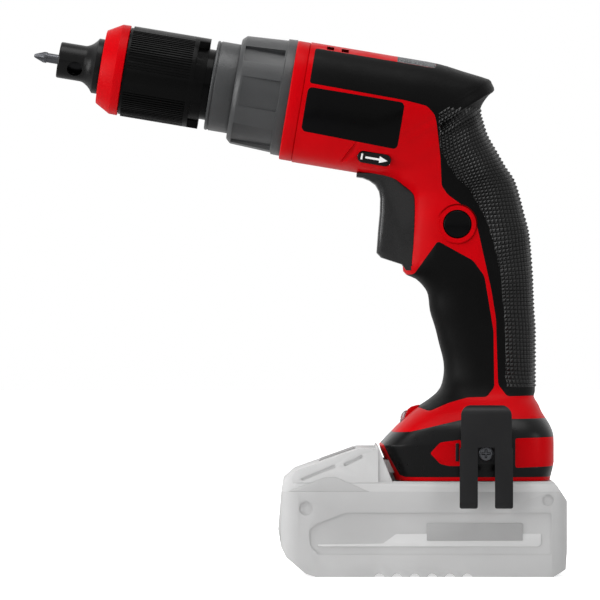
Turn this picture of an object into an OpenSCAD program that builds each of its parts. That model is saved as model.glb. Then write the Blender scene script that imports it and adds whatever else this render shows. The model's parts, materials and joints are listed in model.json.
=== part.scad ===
// Cordless drywall screwdriver standing on its battery pack, in millimetres.
// The nose points along -X and +Z is up. The origin is under the battery, on the mid-plane.
// Places along the barrel are measured on the barrel line from a point above the handle,
// and are negative towards the nose.

/* [Barrel line] */
// Height of the barrel line above the base, over the handle
barrel_h = 208.7; // [206:0.5:212]
// Nose-up tilt of the barrel, degrees
tilt = 9.5; // [8:0.5:11]

/* [Housing] */
// Width of the motor housing
motor_w = 58; // [57:0.5:62]
// Width of the grip
grip_w = 34; // [33:0.5:38]
// Width of the foot
foot_w = 76; // [74:0.5:80]
// Wall of the housing shells
wall = 3; // [2.6:0.1:3.2]
// Thickness of the soft overmould and the plates let into the housing
skin = 1.5; // [1.2:0.1:1.8]
// Distance from the handle point to the front of the motor housing
motor_len = 56; // [55:0.5:60]
// Length of the red band ahead of the motor housing
band_len = 6.1; // [5.8:0.1:7]

/* [Gearbox] */
// Length of the gearbox housing
case_len = 25.4; // [25:0.1:28]
// Radius of the gearbox housing at its rear flange
case_r = 27; // [26.5:0.1:27.6]
// Radius of the cavity for the gears
gear_bay_r = 21; // [20.8:0.1:22]
// Length of the grey ring ahead of the gearbox
ring_len = 10.9; // [10.6:0.1:12]
// Radius of the grey ring
ring_r = 20.7; // [20.2:0.1:21.2]
// Tooth module of the planetary stage
gear_module = 0.7; // [0.65:0.01:0.7]
// Travel of the spindle when the bit is pressed on a screw
push_travel = 2; // [1.4:0.1:2]

/* [Depth stop] */
// Length of guide sleeve that shows behind the collar
sleeve_show = 3.1; // [2.6:0.1:4]
// Length of the depth collar
collar_len = 35.9; // [34:0.5:40]
// Radius of the depth collar
collar_r = 20.95; // [20.6:0.05:21.4]
// Number of ribs in each of the collar's four ribbed fields
rib_count = 18; // [12:1:24]
// Gap that shows between collar and front cap
cap_gap = 1.5; // [1.3:0.1:2]
// Length of the red front cap
cap_len = 10.6; // [10:0.1:12]
// Length of nosepiece that shows
nose_len = 20; // [18:0.5:24]
// Radius of the nosepiece's front tube
nose_r = 8.3; // [8:0.1:8.8]
// Travel of the depth stop
stop_travel = 4; // [3:0.5:5]

/* [Bit] */
// Width across flats of the bit
hex_af = 6.35; // [6.3:0.01:6.4]
// Length of bit that shows ahead of the nosepiece
bit_show = 11.4; // [9:0.2:13]
// Radius of the magnetic bit holder
holder_r = 5.2; // [5:0.1:5.3]

/* [Motor] */
// Radius of the stator
stator_r = 20.5; // [20:0.1:20.8]
// Length of the stator core
stator_len = 22; // [20:0.5:23]
// Radius of the rotor core
rotor_r = 11; // [10:0.5:12]

/* [Controls] */
// Width of the trigger
trigger_w = 20; // [18:0.5:22]
// Travel of the trigger
trigger_travel = 6; // [4:0.5:7]
// Radius of the lock button
lock_r = 6.2; // [5.8:0.1:6.6]
// Travel of the lock button
lock_travel = 2.5; // [1.5:0.1:3]
// Travel of the direction selector each way
selector_travel = 2.5; // [1.5:0.1:3]

/* [Belt hook] */
// Width of the belt hook's outer plate
hook_w = 23; // [22:0.5:25]
// Thickness of the belt hook's strip
hook_t = 1.5; // [1.2:0.1:2]
// Clear space behind the belt hook's plate
hook_gap = 5.5; // [5:0.5:7]
// Radius of the belt hook's screw
hook_screw_r = 2; // [1.8:0.1:2.2]

/* [Battery] */
// Height of the battery's deck
deck_h = 43.4; // [43:0.2:45]
// Width of the battery
pack_w = 76; // [74:0.5:80]
// Wall of the battery case
pack_wall = 2.4; // [2:0.1:2.5]
// Radius of a cell
cell_r = 9.15; // [9:0.05:9.2]
// Length of a cell
cell_len = 65; // [62:0.5:65.5]

/* [Fit] */
// Radial clearance of a running fit
run = 0.05; // [0.03:0.01:0.08]
// Gap between parts that move past each other
gap = 0.4; // [0.3:0.05:0.5]

/* [Hidden] */
fine = 96;
arc = 32;

red = "#c00c10";
black = "#161616";
dark_grey = "#444546";
pale_grey = "#bdbdbd";
steel = "#9a9ca0";

// Places along the barrel
x_house = -motor_len;
x_band = x_house - band_len;
x_case = x_band - case_len;
x_ring = x_case - ring_len;
x_sleeve = x_ring - sleeve_show;
x_collar = x_sleeve - collar_len;
x_cap = x_collar - cap_gap;
x_cap_front = x_cap - cap_len;
x_nose = x_cap_front - nose_len;
x_tip = x_nose - bit_show;

// Foot and base
foot_z = deck_h + 0.3;
hook_x = 28.4;
hook_z = foot_z + 12.6;
pad_y = foot_w / 2 + 0.1;

module barrel() { translate([0, 0, barrel_h]) rotate([0, tilt, 0]) children(); }
module along(x0, x1) { translate([x0, 0, 0]) rotate([90, 0, 90]) linear_extrude(x1 - x0) children(); }
module across(y0, y1) { translate([0, y1, 0]) rotate([90, 0, 0]) linear_extrude(y1 - y0) children(); }
module turned(points) { rotate([0, 90, 0]) rotate_extrude($fn = fine) polygon(points); }
module rod(r, x0, x1) { translate([x0, 0, 0]) rotate([0, 90, 0]) cylinder(r = r, h = x1 - x0, $fn = fine); }
module hex(af, x0, x1) {
    translate([x0, 0, 0]) rotate([0, 90, 0]) cylinder(r = af / sqrt(3), h = x1 - x0, $fn = 6);
}
module tube(r_out, r_in, x0, x1) { turned([[r_in, x0], [r_out, x0], [r_out, x1], [r_in, x1]]); }
module cross_pin(x, z, r, y0, y1) {
    translate([x, y1, z]) rotate([90, 0, 0]) cylinder(r = r, h = y1 - y0, $fn = arc);
}
module rounded(r) { offset(r = r, $fn = arc) offset(delta = -r) children(); }
module filleted(r) { offset(delta = -r) offset(r = r, $fn = arc) children(); }

// A point given on the barrel line, in the model's frame
function on_barrel(x, z) = [x * cos(tilt) + z * sin(tilt), barrel_h - x * sin(tilt) + z * cos(tilt)];

// Body of the tool: cross-sections from the foot up the handle and forward along the motor.
// Each row has the front point, the rear point, the half width and the squareness.
foot_half = foot_w / 2;
grip_half = grip_w / 2;
motor_half = motor_w / 2;
motor_top = 27;
motor_low = -28.8;
foot_rows = [
    [[-13, foot_z], [58.3, foot_z], foot_half - 1.5, 5],
    [[-17.2, foot_z + 9.4], [60.2, foot_z + 8.3], foot_half - 0.5, 5],
    [[-19.5, foot_z + 15.3], [60.2, foot_z + 16.3], foot_half, 5],
    [[-18.5, foot_z + 17.1], [59.9, foot_z + 21.3], foot_half - 0.5, 5],
    [[-11.4, foot_z + 24.6], [58.2, foot_z + 25.7], foot_half - 3, 4.5],
    [[-6, foot_z + 30], [55, foot_z + 30.8], foot_half - 7.5, 4],
    [[-3, foot_z + 32.6], [53.5, foot_z + 34.3], foot_half - 11, 3.6],
    [[3.2, foot_z + 36.8], [51.5, foot_z + 37.9], foot_half - 15.5, 3.2]];
handle_rows = [
    [[7.4, 84.2], [52, 84], grip_half + 3.5, 2.9],
    [[9.2, 87.9], [52, 87.5], grip_half + 2, 2.6],
    [[10.1, 93.4], [52, 92.5], grip_half + 1, 2.4],
    [[9.7, 98.9], [52, 98], grip_half + 0.5, 2.4],
    [[7.8, 106.3], [52, 105.5], grip_half + 0.2, 2.4],
    [[6, 113.6], [52, 113], grip_half, 2.4],
    [[3.7, 121], [51.4, 121], grip_half, 2.4],
    [[2.8, 128.3], [51, 130], grip_half, 2.4],
    [[0.9, 132], [50.8, 136], grip_half, 2.4],
    [[-2.8, 135.7], [50.4, 142], grip_half, 2.4]];
shoulder = motor_half - grip_half;
upper_rows = [for (r = [
        [[2.9, -69.9], [58.7, -49.3], 0, 2.4],
        [[1.9, -59.2], [56.6, -42.2], 0.03, 2.4],
        [[1.1, -48.2], [53.5, -35.3], 0.07, 2.4],
        [[0, -37.4], [47, -21.4], 0.15, 2.4],
        [[-1.4, -34.4], [41.3, -14.9], 0.25, 2.4],
        [[-4.8, -32], [36, -8.4], 0.38, 2.5],
        [[-9.6, -29.5], [30.7, -1.8], 0.5, 2.5],
        [[-13.8, motor_low], [27.2, 5.1], 0.63, 2.5],
        [[-16.8, motor_low], [25.7, 8.6], 0.67, 2.5],
        [[-19.8, motor_low], [26.4, 12.4], 0.71, 2.5],
        [[-22.8, motor_low], [28.5, 16.5], 0.75, 2.6],
        [[-25.8, motor_low], [30.6, 19.2], 0.79, 2.6],
        [[-28.8, motor_low], [28.9, 22.2], 0.83, 2.6],
        [[-31.8, motor_low], [27.4, 23.6], 0.88, 2.7],
        [[-34.8, motor_low], [14.7, 25.3], 0.96, 2.8],
        [[-37.8, motor_low], [3.1, motor_top - 0.2], 1, 2.8],
        [[-41.8, motor_low], [-14.6, motor_top], 1, 2.8],
        [[x_house, motor_low], [x_house, motor_top], 1, 2.8],
        [[x_house - 2, motor_low], [x_house - 2, motor_top], 1, 2.8]])
    [on_barrel(r[0][0], r[0][1]), on_barrel(r[1][0], r[1][1]), grip_half + shoulder * r[2], r[3]]];
rows = concat(foot_rows, handle_rows, upper_rows);
body_end = len(rows) - 2;
cavity_start = 2;

// A half loop ends past the middle plane, and deeper when it's drawn in, so that no two ends meet there
function loop(row, inset, half) = let(
        mid = (row[0] + row[1]) / 2, span = norm(row[1] - row[0]), way = (row[1] - row[0]) / span,
        reach = span / 2 - inset,
        arch = [for (a = half ? [7.5:15:172.5] : [0:15:345]) [
            reach * sign(cos(a)) * pow(abs(cos(a)), 2 / row[3]),
            (row[2] - inset) * sign(sin(a)) * pow(abs(sin(a)), 2 / row[3])]],
        ends = half ? [[-reach, -1 - inset], [reach, -1 - inset]] : [])
    [for (p = concat(arch, ends)) [mid[0] + way[0] * p[0], p[1], mid[1] + way[1] * p[0]]];

// Solid through the loops of rows first to last, drawn in by inset; half is the +Y half, not yet trimmed
module body(inset = 0, first = 0, last = body_end, half = true) {
    chosen = [for (i = [first:last]) if (i != body_end || last == body_end) rows[i]];
    loops = [for (row = chosen) loop(row, inset, half)];
    n = len(loops[0]);
    m = len(loops);
    walls = [for (i = [0:m - 2], k = [0:n - 1]) let(a = i * n + k, b = i * n + (k + 1) % n)
        each [[a, a + n, b], [b, a + n, b + n]]];
    polyhedron([for (l = loops) each l],
        concat([[for (k = [0:n - 1]) k]], [[for (k = [n - 1:-1:0]) (m - 1) * n + k]], walls));
}

// Outlines of the pieces let into the body, seen from the side
panel_front = x_house + 2.3;
module rear_grip_outline() {
    filleted(3) rounded(2) polygon(concat(
        [for (p = [[panel_front, 24], [panel_front, 7.5], [-9.5, 6.9], [0.9, 6], [5, 2.7], [6.7, -1.6],
            [10.8, -15.9], [13.6, -28.6], [17, -32.1], [25.5, -36.3], [31.4, -41], [35.3, -50.5],
            [43.9, -71.7]]) on_barrel(p[0], p[1])],
        [[33.6, 117.4], [34.5, 87.3], [38.6, foot_z + 38.3], [70, foot_z + 38.8], [75, 150], [60, 240]],
        [for (p = [[30, 45], [2, 45], [2, 24]]) on_barrel(p[0], p[1])]));
}
module front_grip_outline() {
    rounded(1.5) polygon(concat(
        [for (p = [[7.9, -70.6], [16.1, -53.8], [33.5, -59.9], [39.8, -66.1], [42.6, -74.2]])
            on_barrel(p[0], p[1])],
        [[32.5, 111.8], [32.8, 86.2], [29.2, foot_z + 38], [20.5, foot_z + 37.8], [11.5, foot_z + 35.2],
            [3.1, foot_z + 31.6], [-3, foot_z + 33.5], [-20, foot_z + 50], [-20, 137]]));
}
module side_plate_outline() {
    rounded(2.2) polygon([for (p = [[x_house + 2, 5.8], [x_house + 46.7, 5.8], [x_house + 46.7, -15.8],
        [x_house + 2, -14.6]]) on_barrel(p[0], p[1])]);
}
module top_insert_outline() {
    polygon([for (p = [[-15.8, 24.4], [1.9, 24.4], [1.9, 34], [-15.8, 34]]) on_barrel(p[0], p[1])]);
}
module foot_band_outline() {
    difference() {
        polygon([[-30, foot_z + 16], [-14, foot_z + 22], [-6, foot_z + 22.3], [17.6, foot_z + 27.8],
            [70, foot_z + 28.6], [70, foot_z + 1.7], [-30, foot_z + 1.7]]);
        rounded(1) polygon([[41.8, foot_z + 19.4], [70, foot_z + 20.2], [70, foot_z + 7],
            [41.8, foot_z + 6]]);
        rounded(0.8) polygon([[3.1, foot_z + 12.6], [7.6, foot_z + 17.5], [17, foot_z + 18.8],
            [17, foot_z + 6.8], [11.5, foot_z + 6.8], [7.6, foot_z + 7.8]]);
    }
}
module let_in() { across(-6, motor_w) children(); }
module trim_half() { translate([-150, -20, 0]) cube([300, 20, 300]); }
module skin_piece(first, last) {
    difference() {
        intersection() {
            body(0, first, min(last, body_end));
            let_in() children();
        }
        body(skin, first, last);
        trim_half();
    }
}
module pockets() {
    difference() {
        let_in() {
            rear_grip_outline();
            front_grip_outline();
            side_plate_outline();
            foot_band_outline();
            top_insert_outline();
        }
        body(skin, 0, body_end + 1);
    }
}

// Inside of the housing: bosses, motor ribs and the bearing wall stay standing in it
screw_seats = [[on_barrel(12, 12), 17], [on_barrel(40, -31.5), 13], [[27, 119], 11], [[42, 92], 11.5],
    [[50, foot_z + 20], 28], [[-8, foot_z + 20.5], 24]];
boss_r = 3.4;
screw_r = 1.5;
screw_head_r = 2.8;
x_stator = x_house + 14.2;
x_stator_end = x_stator + stator_len;
x_rear_bearing = x_stator_end + 12;
bearing_r = 9.5;
bearing_w = 5;
module motor_rib(x0, x1, r) {
    barrel() difference() {
        translate([x0, -6, -motor_w / 2]) cube([x1 - x0, motor_w, motor_w]);
        rod(r, x0 - 1, x1 + 1);
    }
}
module cavity() {
    difference() {
        body(wall, cavity_start, body_end + 1);
        for (s = screw_seats) cross_pin(s[0][0], s[0][1], boss_r, -6, motor_w);
        motor_rib(x_stator + 2, x_stator + 4.5, stator_r);
        motor_rib(x_stator_end - 10, x_stator_end - 7.5, stator_r);
        motor_rib(x_rear_bearing - 0.5, x_rear_bearing + bearing_w, bearing_r);
    }
}

// Channel under the foot for the battery's rail
rail_neck = 21.5;
rail_half = 26;
rail_z = foot_z + 3.6;
rail_top = foot_z + 9.3;
rail_end = 46;
module rail_shape(grow) {
    polygon([[-1, foot_z - 2], [rail_neck + grow, foot_z - 2], [rail_neck + grow, rail_z - grow],
        [rail_half + grow, rail_z - grow], [rail_half + grow, rail_top + grow], [-1, rail_top + grow]]);
}

module rail_channel() { along(-40, rail_end + gap + 0.6) rail_shape(gap); }

// The trigger's outline on the barrel line, and the opening that it slides in
trigger_top = -29.3;
trigger_low = -66.6;
trigger_points = [[-25.6, trigger_top], [-21.8, -31], [-15.4, -33.6], [-13, -38.2], [-11.6, -52.4],
    [-10.6, -64], [-9.4, -65.9], [7, trigger_low], [7, -34], [-8, trigger_top]];
x_switch = 17.4;
module trigger_outline() { rounded(0.9) polygon(trigger_points); }
module trigger_bay() {
    barrel() across(-trigger_w / 2 - gap, trigger_w / 2 + gap)
        polygon([[-28, trigger_top + gap], [trigger_travel - 8 + gap, trigger_top + gap],
            [x_switch, trigger_top - 5.4], [x_switch, trigger_low - gap], [-28, trigger_low - gap]]);
}

// Direction selector, across the housing under the motor
selector_x = -18.9;
selector_z = -21.5;
selector_l = 15.4;
selector_h = 5.2;
selector_in = 17;
selector_out = 21.7 + selector_travel;
module stadium(l, h) {
    hull() for (s = [-1, 1]) translate([s * (l - h) / 2, 0]) circle(d = h, $fn = arc);
}
module at_selector() { translate([selector_x, selector_z]) children(); }

lock_x = 23.6;
lock_z = -44.7;
lock_face = grip_half + 1.4;
switch_half = 12;

led_w = 12;
module led_outline() {
    polygon([[-12.5, foot_z + 26], [-8.6, foot_z + 30.8], [-5.2, foot_z + 29.6], [-5.2, foot_z + 25]]);
}

module hook_pad() { cross_pin(hook_x, hook_z, 7, foot_half - 4, pad_y); }
module lock_well(r, y0) { barrel() cross_pin(lock_x, lock_z, r, y0, lock_face - 0.4); }
lock_ring_r = lock_r + 2.4;
vent_x = [x_house + 7.5, x_house + 14.3];
vent_l = 3.3;
module half_housing() {
    difference() {
        union() {
            difference() {
                body();
                cavity();
                pockets();
            }
            hook_pad();
        }
        rail_channel();
        trigger_bay();
        barrel() across(-1, motor_w) at_selector() stadium(selector_l + 2 * gap, selector_h + 2 * gap);
        barrel() for (x = vent_x) translate([x, -10, motor_top - wall - 2]) cube([vent_l, 20, 10]);
        across(-1, led_w / 2) led_outline();
        cross_pin(hook_x, hook_z, hook_screw_r, pad_y - 12, pad_y + 1);
        trim_half();
    }
}

module screw_wells() {
    for (s = screw_seats) cross_pin(s[0][0], s[0][1], screw_head_r + 0.1, s[1], motor_w);
}
module housing_right() {
    color(red) difference() {
        half_housing();
        for (s = screw_seats) cross_pin(s[0][0], s[0][1], screw_r, -1, motor_w);
        screw_wells();
    }
}
module housing_left() {
    color(red) mirror([0, 1, 0]) difference() {
        union() {
            half_housing();
            lock_well(lock_ring_r, grip_half - 2.6);
        }
        barrel() cross_pin(lock_x, lock_z, lock_r + gap, switch_half, motor_w);
        for (s = screw_seats) cross_pin(s[0][0], s[0][1], screw_r, -1, 9);
    }
}
module rear_grip() { color(black) skin_piece(6, body_end + 1) rear_grip_outline(); }
module front_grip() { color(black) skin_piece(5, 22) front_grip_outline(); }
module side_plate() { color(black) skin_piece(27, body_end + 1) side_plate_outline(); }
module foot_band() {
    color(black) difference() {
        skin_piece(0, 6) foot_band_outline();
        rail_channel();
        hook_pad();
    }
}
module screwed() {
    difference() {
        children();
        screw_wells();
    }
}
module rear_grip_right() { screwed() rear_grip(); }
module rear_grip_left() {
    mirror([0, 1, 0]) difference() {
        rear_grip();
        lock_well(lock_ring_r, 0);
    }
}
module front_grip_right() { screwed() front_grip(); }
module front_grip_left() { mirror([0, 1, 0]) front_grip(); }
module side_plate_right() { screwed() side_plate(); }
module side_plate_left() { mirror([0, 1, 0]) side_plate(); }
module foot_band_right() { screwed() foot_band(); }
module foot_band_left() { mirror([0, 1, 0]) foot_band(); }
module both_sides() {
    children();
    mirror([0, 1, 0]) children();
}
module top_insert() {
    color(dark_grey) both_sides() skin_piece(31, body_end + 1) top_insert_outline();
}

// Outline of the motor housing across the barrel
module motor_section(grow = 0) {
    high = (motor_top - motor_low) / 2 + grow;
    polygon([for (a = [0:7.5:352.5]) [
        (motor_half + grow) * sign(cos(a)) * pow(abs(cos(a)), 2 / 2.8),
        (motor_top + motor_low) / 2 + high * sign(sin(a)) * pow(abs(sin(a)), 2 / 2.8)]]);
}
bracket_r = 24;
shaft_r = 3;
module motor_flange() {
    color(red) barrel() difference() {
        along(x_band, x_house) motor_section(-0.3);
        rod(bracket_r, x_band - 1, x_house + 1);
    }
}
module motor_bracket() {
    color(steel) barrel() turned([[shaft_r + 0.6, x_band - 1.5], [gear_bay_r, x_band - 1.5],
        [gear_bay_r, x_band], [bracket_r, x_band], [bracket_r, x_house], [bearing_r, x_house],
        [bearing_r, x_house - bearing_w], [shaft_r + 0.6, x_house - bearing_w]]);
}

flange_l = 4.4;
case_wall = 1.8;
spindle_r = 6;
module case_pocket(angle, wide) {
    rotate([angle, 0, 0]) translate([x_case + 2.6, -wide / 2, case_r - 2.6])
        cube([case_len - flange_l - 2.4, wide, 5]);
}
module gearbox_housing() {
    color(dark_grey) barrel() difference() {
        turned([[spindle_r + 2, x_case], [case_r - 4, x_case], [case_r - 2, x_case + 2.3],
            [case_r - 1, x_band - flange_l], [case_r - 0.2, x_band - flange_l + 0.4], [case_r, x_band],
            [gear_bay_r, x_band], [gear_bay_r, x_case + case_wall], [spindle_r + 2, x_case + case_wall]]);
        for (side = [-1, 1]) {
            case_pocket(side * 50, 8);
            case_pocket(side * 91.5, 13.5);
            case_pocket(side * 132, 9);
        }
    }
}
sleeve_r = 16.3;
module nose_ring() {
    color(dark_grey) barrel() turned([[sleeve_r, x_ring], [ring_r - 0.4, x_ring], [ring_r, x_ring + 0.4],
        [ring_r, x_ring + 1.3], [ring_r - 0.3, x_ring + 1.4], [ring_r - 0.3, x_ring + 1.7],
        [ring_r, x_ring + 1.8], [ring_r, x_case], [sleeve_r, x_case]]);
}

// Guide sleeve: the collar turns on its rear part and the front cap slides on its front part
x_step = x_sleeve - 18.4;
cap_tube_r = 17;
cap_bore = 13.6;
cap_tube_end = x_cap + 13 + stop_travel;
key_w = 3;
key_h = 1;
spindle_bearing_r = 14;
x_spindle_bearing = x_case - 12;
spindle_bearing_w = 8;
module guide_sleeve() {
    color(black) barrel() difference() {
        turned([[9, x_collar + 1.5], [cap_bore - run, x_collar + 1.5], [cap_bore - run, x_step],
            [sleeve_r, x_step], [sleeve_r, x_case], [spindle_bearing_r, x_case],
            [spindle_bearing_r, x_spindle_bearing], [9, x_spindle_bearing]]);
        for (a = [0, 180]) rotate([a, 0, 0])
            translate([x_collar, -key_w / 2 - 0.2, cap_bore - key_h - 0.3]) cube([x_step - x_collar, key_w + 0.4, 3]);
    }
}
module ball_bearing(r_in, r_out, x0, w, balls) {
    mid = (r_in + r_out) / 2;
    ball = (r_out - r_in) * 0.28;
    land = ball * 0.75;
    difference() {
        union() {
            tube(r_out, mid + land, x0, x0 + w);
            tube(mid - land, r_in, x0, x0 + w);
            tube(mid + land, mid - land, x0 + w / 2 - 0.5, x0 + w / 2 + 0.5);
        }
        for (i = [1:balls]) rotate([360 * i / balls, 0, 0]) translate([x0 + w / 2, 0, mid])
            sphere(r = ball, $fn = arc);
    }
    for (i = [1:balls]) rotate([360 * i / balls, 0, 0]) translate([x0 + w / 2, 0, mid])
        sphere(r = ball, $fn = arc);
}
module spindle_bearing() {
    color(steel) barrel()
        ball_bearing(spindle_r + run, spindle_bearing_r, x_spindle_bearing, spindle_bearing_w, 9);
}
module front_motor_bearing() {
    color(steel) barrel() ball_bearing(shaft_r + run, bearing_r, x_house - bearing_w, bearing_w, 7);
}
module rear_motor_bearing() {
    color(steel) barrel() ball_bearing(shaft_r + run, bearing_r, x_rear_bearing, bearing_w, 7);
}

// Planetary stage
sun_teeth = 12;
planet_teeth = 18;
ring_teeth = sun_teeth + 2 * planet_teeth;
orbit_r = gear_module * (sun_teeth + planet_teeth) / 2;
x_gears = x_band - 10.2;
gear_w = 8.3;
backlash = 0.16;
pressure_angle = 20;
function involute(a) = tan(a) * 180 / PI - a;
function flank(teeth, r, slack) = let(pitch_r = gear_module * teeth / 2, base_r = pitch_r * cos(pressure_angle))
    90 / teeth + involute(pressure_angle) - involute(acos(min(1, base_r / r))) - slack / pitch_r * 90 / PI;
function tooth(teeth, low, high, slack, turn) = let(
        steps = [for (i = [0:4]) low + (high - low) * i / 4],
        rising = [for (r = steps) [r, turn - flank(teeth, r, slack)]],
        falling = [for (i = [4:-1:0]) [steps[i], turn + flank(teeth, steps[i], slack)]])
    [for (p = concat(rising, falling)) [p[0] * sin(p[1]), p[0] * cos(p[1])]];
module gear_outline(teeth, add, ded, slack, start = 0) {
    pitch_r = gear_module * teeth / 2;
    polygon([for (i = [0:teeth - 1])
        each tooth(teeth, pitch_r - ded * gear_module, pitch_r + add * gear_module, slack, start + 360 * i / teeth)]);
}
module ring_gear() {
    color(steel) barrel() along(x_gears - 0.3, x_band - 1.5) difference() {
        circle(r = gear_bay_r, $fn = fine);
        gear_outline(ring_teeth, 1, 0.7, -backlash, 180 / ring_teeth);
    }
}
module sun_gear() {
    color(steel) barrel() along(x_gears, x_band - 1.8) difference() {
        gear_outline(sun_teeth, 0.7, 1.1, backlash);
        circle(r = 2, $fn = arc);
    }
}
pin_r = 1.6;
module planet(angle) {
    color(steel) barrel() rotate([angle, 0, 0]) translate([0, 0, orbit_r]) along(x_gears, x_gears + gear_w)
        difference() {
            gear_outline(planet_teeth, 0.7, 1.1, backlash, 180 / planet_teeth);
            circle(r = pin_r + run, $fn = arc);
        }
}
module planet_gear_1() { planet(0); }
module planet_gear_2() { planet(120); }
module planet_gear_3() { planet(240); }

// Dog clutch between carrier and spindle
carrier_l = 5;
x_carrier = x_gears - 0.7 - carrier_l;
dog_l = 2.3;
dog_r = 13;
dog_gap = 0.4;
pilot_r = 3;
module dogs(x0, x1, turn) {
    along(x0, x1) for (i = [0:2]) rotate(turn + 120 * i) intersection() {
        difference() {
            circle(r = dog_r, $fn = fine);
            circle(r = 8, $fn = fine);
        }
        polygon([[0, 0], [-6, 20], [6, 20]]);
    }
}
module planet_carrier() {
    color(steel) barrel() {
        difference() {
            rod(orbit_r + 5, x_carrier, x_carrier + carrier_l);
            rod(pilot_r + run, x_carrier - 1, x_carrier + carrier_l - 0.8);
        }
        dogs(x_carrier - dog_l, x_carrier + 1, 0);
        for (i = [0:2]) rotate([120 * i, 0, 0]) translate([0, 0, orbit_r])
            rod(pin_r, x_carrier + 1, x_gears + gear_w);
    }
}
x_dogs = x_carrier - dog_l - dog_gap;
x_flange = x_dogs - dog_l;
flange_w = 2.4;
x_spindle = x_sleeve - 24.4;
hex_clear = 0.1;
shank_end = x_spindle + 19.5;
module spindle() {
    color(steel) barrel() {
        difference() {
            union() {
                rod(spindle_r, x_spindle, x_flange - flange_w);
                rod(dog_r + 0.5, x_flange - flange_w, x_flange);
            }
            hex(hex_af + hex_clear, x_spindle - 1, shank_end + 0.5);
        }
        rod(pilot_r, x_flange - 1, x_carrier + carrier_l - 0.8 - push_travel - 0.4);
        dogs(x_flange - 1, x_dogs, 60);
    }
}

// A wire wound into a coil along +Z
module coil(r, wire, length, turns) {
    per_turn = 12;
    last = turns * per_turn;
    rise = (length - 2 * wire) / last;
    points = [for (i = [0:last], k = [0:5]) let(a = 360 * i / per_turn, b = 60 * k, d = r + wire * cos(b))
        [d * cos(a), d * sin(a), wire + rise * i - wire * sin(b)]];
    sides = [for (i = [0:last - 1], k = [0:5]) let(p = 6 * i + k, q = 6 * i + (k + 1) % 6)
        each [[p, p + 6, q], [q, p + 6, q + 6]]];
    polyhedron(points, concat([[for (k = [0:5]) k]], [[for (k = [5:-1:0]) 6 * last + k]], sides));
}
module clutch_spring() {
    color(steel) barrel() translate([x_flange + 0.1, 0, 0]) rotate([0, 90, 0])
        coil(5.4, 0.5, x_carrier - x_flange - 0.2, 2);
}

x_holder_front = x_nose + 3.8;
x_holder_end = x_sleeve - 38.4;
x_bit_end = x_holder_front + 12.1;
magnet_l = 2.5;
module bit_holder() {
    color(steel) barrel() difference() {
        union() {
            turned([[0, x_holder_front], [holder_r - 0.5, x_holder_front], [holder_r, x_holder_front + 0.5],
                [holder_r, x_holder_end - 1], [holder_r - 1, x_holder_end], [0, x_holder_end]]);
            hex(hex_af, x_holder_end - 1, shank_end);
        }
        hex(hex_af + hex_clear, x_holder_front - 1, x_bit_end);
        rod(2.6, x_bit_end - 1, x_bit_end + magnet_l);
    }
}
module holder_magnet() { color(steel) barrel() rod(2.6, x_bit_end, x_bit_end + magnet_l); }
neck_r = 2.2;
tip_r = 2.5;
module screwdriver_bit() {
    color(steel) barrel() {
        hex(hex_af, x_nose + 0.8, x_bit_end - 0.2);
        rod(neck_r, x_nose - 5.4, x_nose + 0.8);
        difference() {
            turned([[0, x_tip], [0.5, x_tip], [0.9, x_tip + 0.4], [1.6, x_tip + 2.2], [tip_r, x_tip + 4.6],
                [tip_r, x_nose - 5.4], [0, x_nose - 5.4]]);
            for (i = [0:3]) rotate([45 + 90 * i, 0, 0]) translate([x_tip - 1, 0, 1.7]) rotate([0, -8, 0])
                rotate([0, 90, 0]) cylinder(r = 1.15, h = 6, $fn = arc);
        }
    }
}

// Depth collar: ribbed fields between smooth pads, and tabs with deep windows between them at the rear
pad_turn = -13;
pad_half = 13.5;
rib_h = 0.45;
collar_bore = sleeve_r + run;
rear_band_l = 7;
window_l = 4.9;
window_r = 17.6;
cap_front_r = 16.9;
function rib_angles(i, k) = let(step = (90 - 2 * pad_half) / rib_count, a = 90 * i + pad_half + step * k)
    [[a, -rib_h], [a + step * 0.45, -rib_h], [a + step * 0.5, 0], [a + step * 0.95, 0]];
module ribbed_outline() {
    polygon([for (i = [0:3], k = [0:rib_count - 1], p = rib_angles(i, k))
        (collar_r + p[1]) * [cos(p[0] + pad_turn), sin(p[0] + pad_turn)]]);
}
module pad_fields() {
    for (i = [0:3]) rotate(90 * i + pad_turn)
        polygon([for (a = [-pad_half:3:pad_half + 0.1]) collar_r * [cos(a), sin(a)], [0, 0]]);
}
module tabs_outline() {
    circle(r = window_r, $fn = fine);
    intersection() {
        circle(r = collar_r, $fn = fine);
        for (i = [0:3]) rotate(90 * i + pad_turn)
            polygon([[0, 0], 30 * [cos(-pad_half), sin(-pad_half)], 30 * [cos(pad_half), sin(pad_half)]]);
    }
}
module depth_collar() {
    color(black) barrel() mirror([0, 1, 0]) difference() {
        union() {
            along(x_collar, x_sleeve - rear_band_l) union() {
                ribbed_outline();
                pad_fields();
            }
            rod(collar_r, x_sleeve - rear_band_l, x_sleeve - window_l);
            along(x_sleeve - window_l, x_sleeve) tabs_outline();
            rod(collar_r - 0.85, x_collar - cap_gap + 0.4, x_collar);
        }
        rod(collar_bore, x_collar - 5, x_sleeve + 1);
        rod(cap_tube_r + run, x_collar - 5, x_step);
    }
}
module front_cap() {
    color(red) barrel() {
        turned([[10, x_cap_front], [cap_front_r, x_cap_front], [collar_r - 0.15, x_cap - 3.8],
            [collar_r - 0.05, x_cap], [cap_tube_r, x_cap], [cap_tube_r, cap_tube_end],
            [cap_bore, cap_tube_end], [cap_bore, x_cap - 1.5], [10, x_cap - 1.5]]);
        for (a = [0, 180]) rotate([a, 0, 0])
            translate([cap_tube_end - 10, -key_w / 2, cap_bore - key_h]) cube([9.5, key_w, key_h + 0.4]);
    }
}
nose_flange_r = 12.7;
x_flare = x_nose + 11.4;
flare_l = 5.8;
hole_turn = 25;
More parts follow.
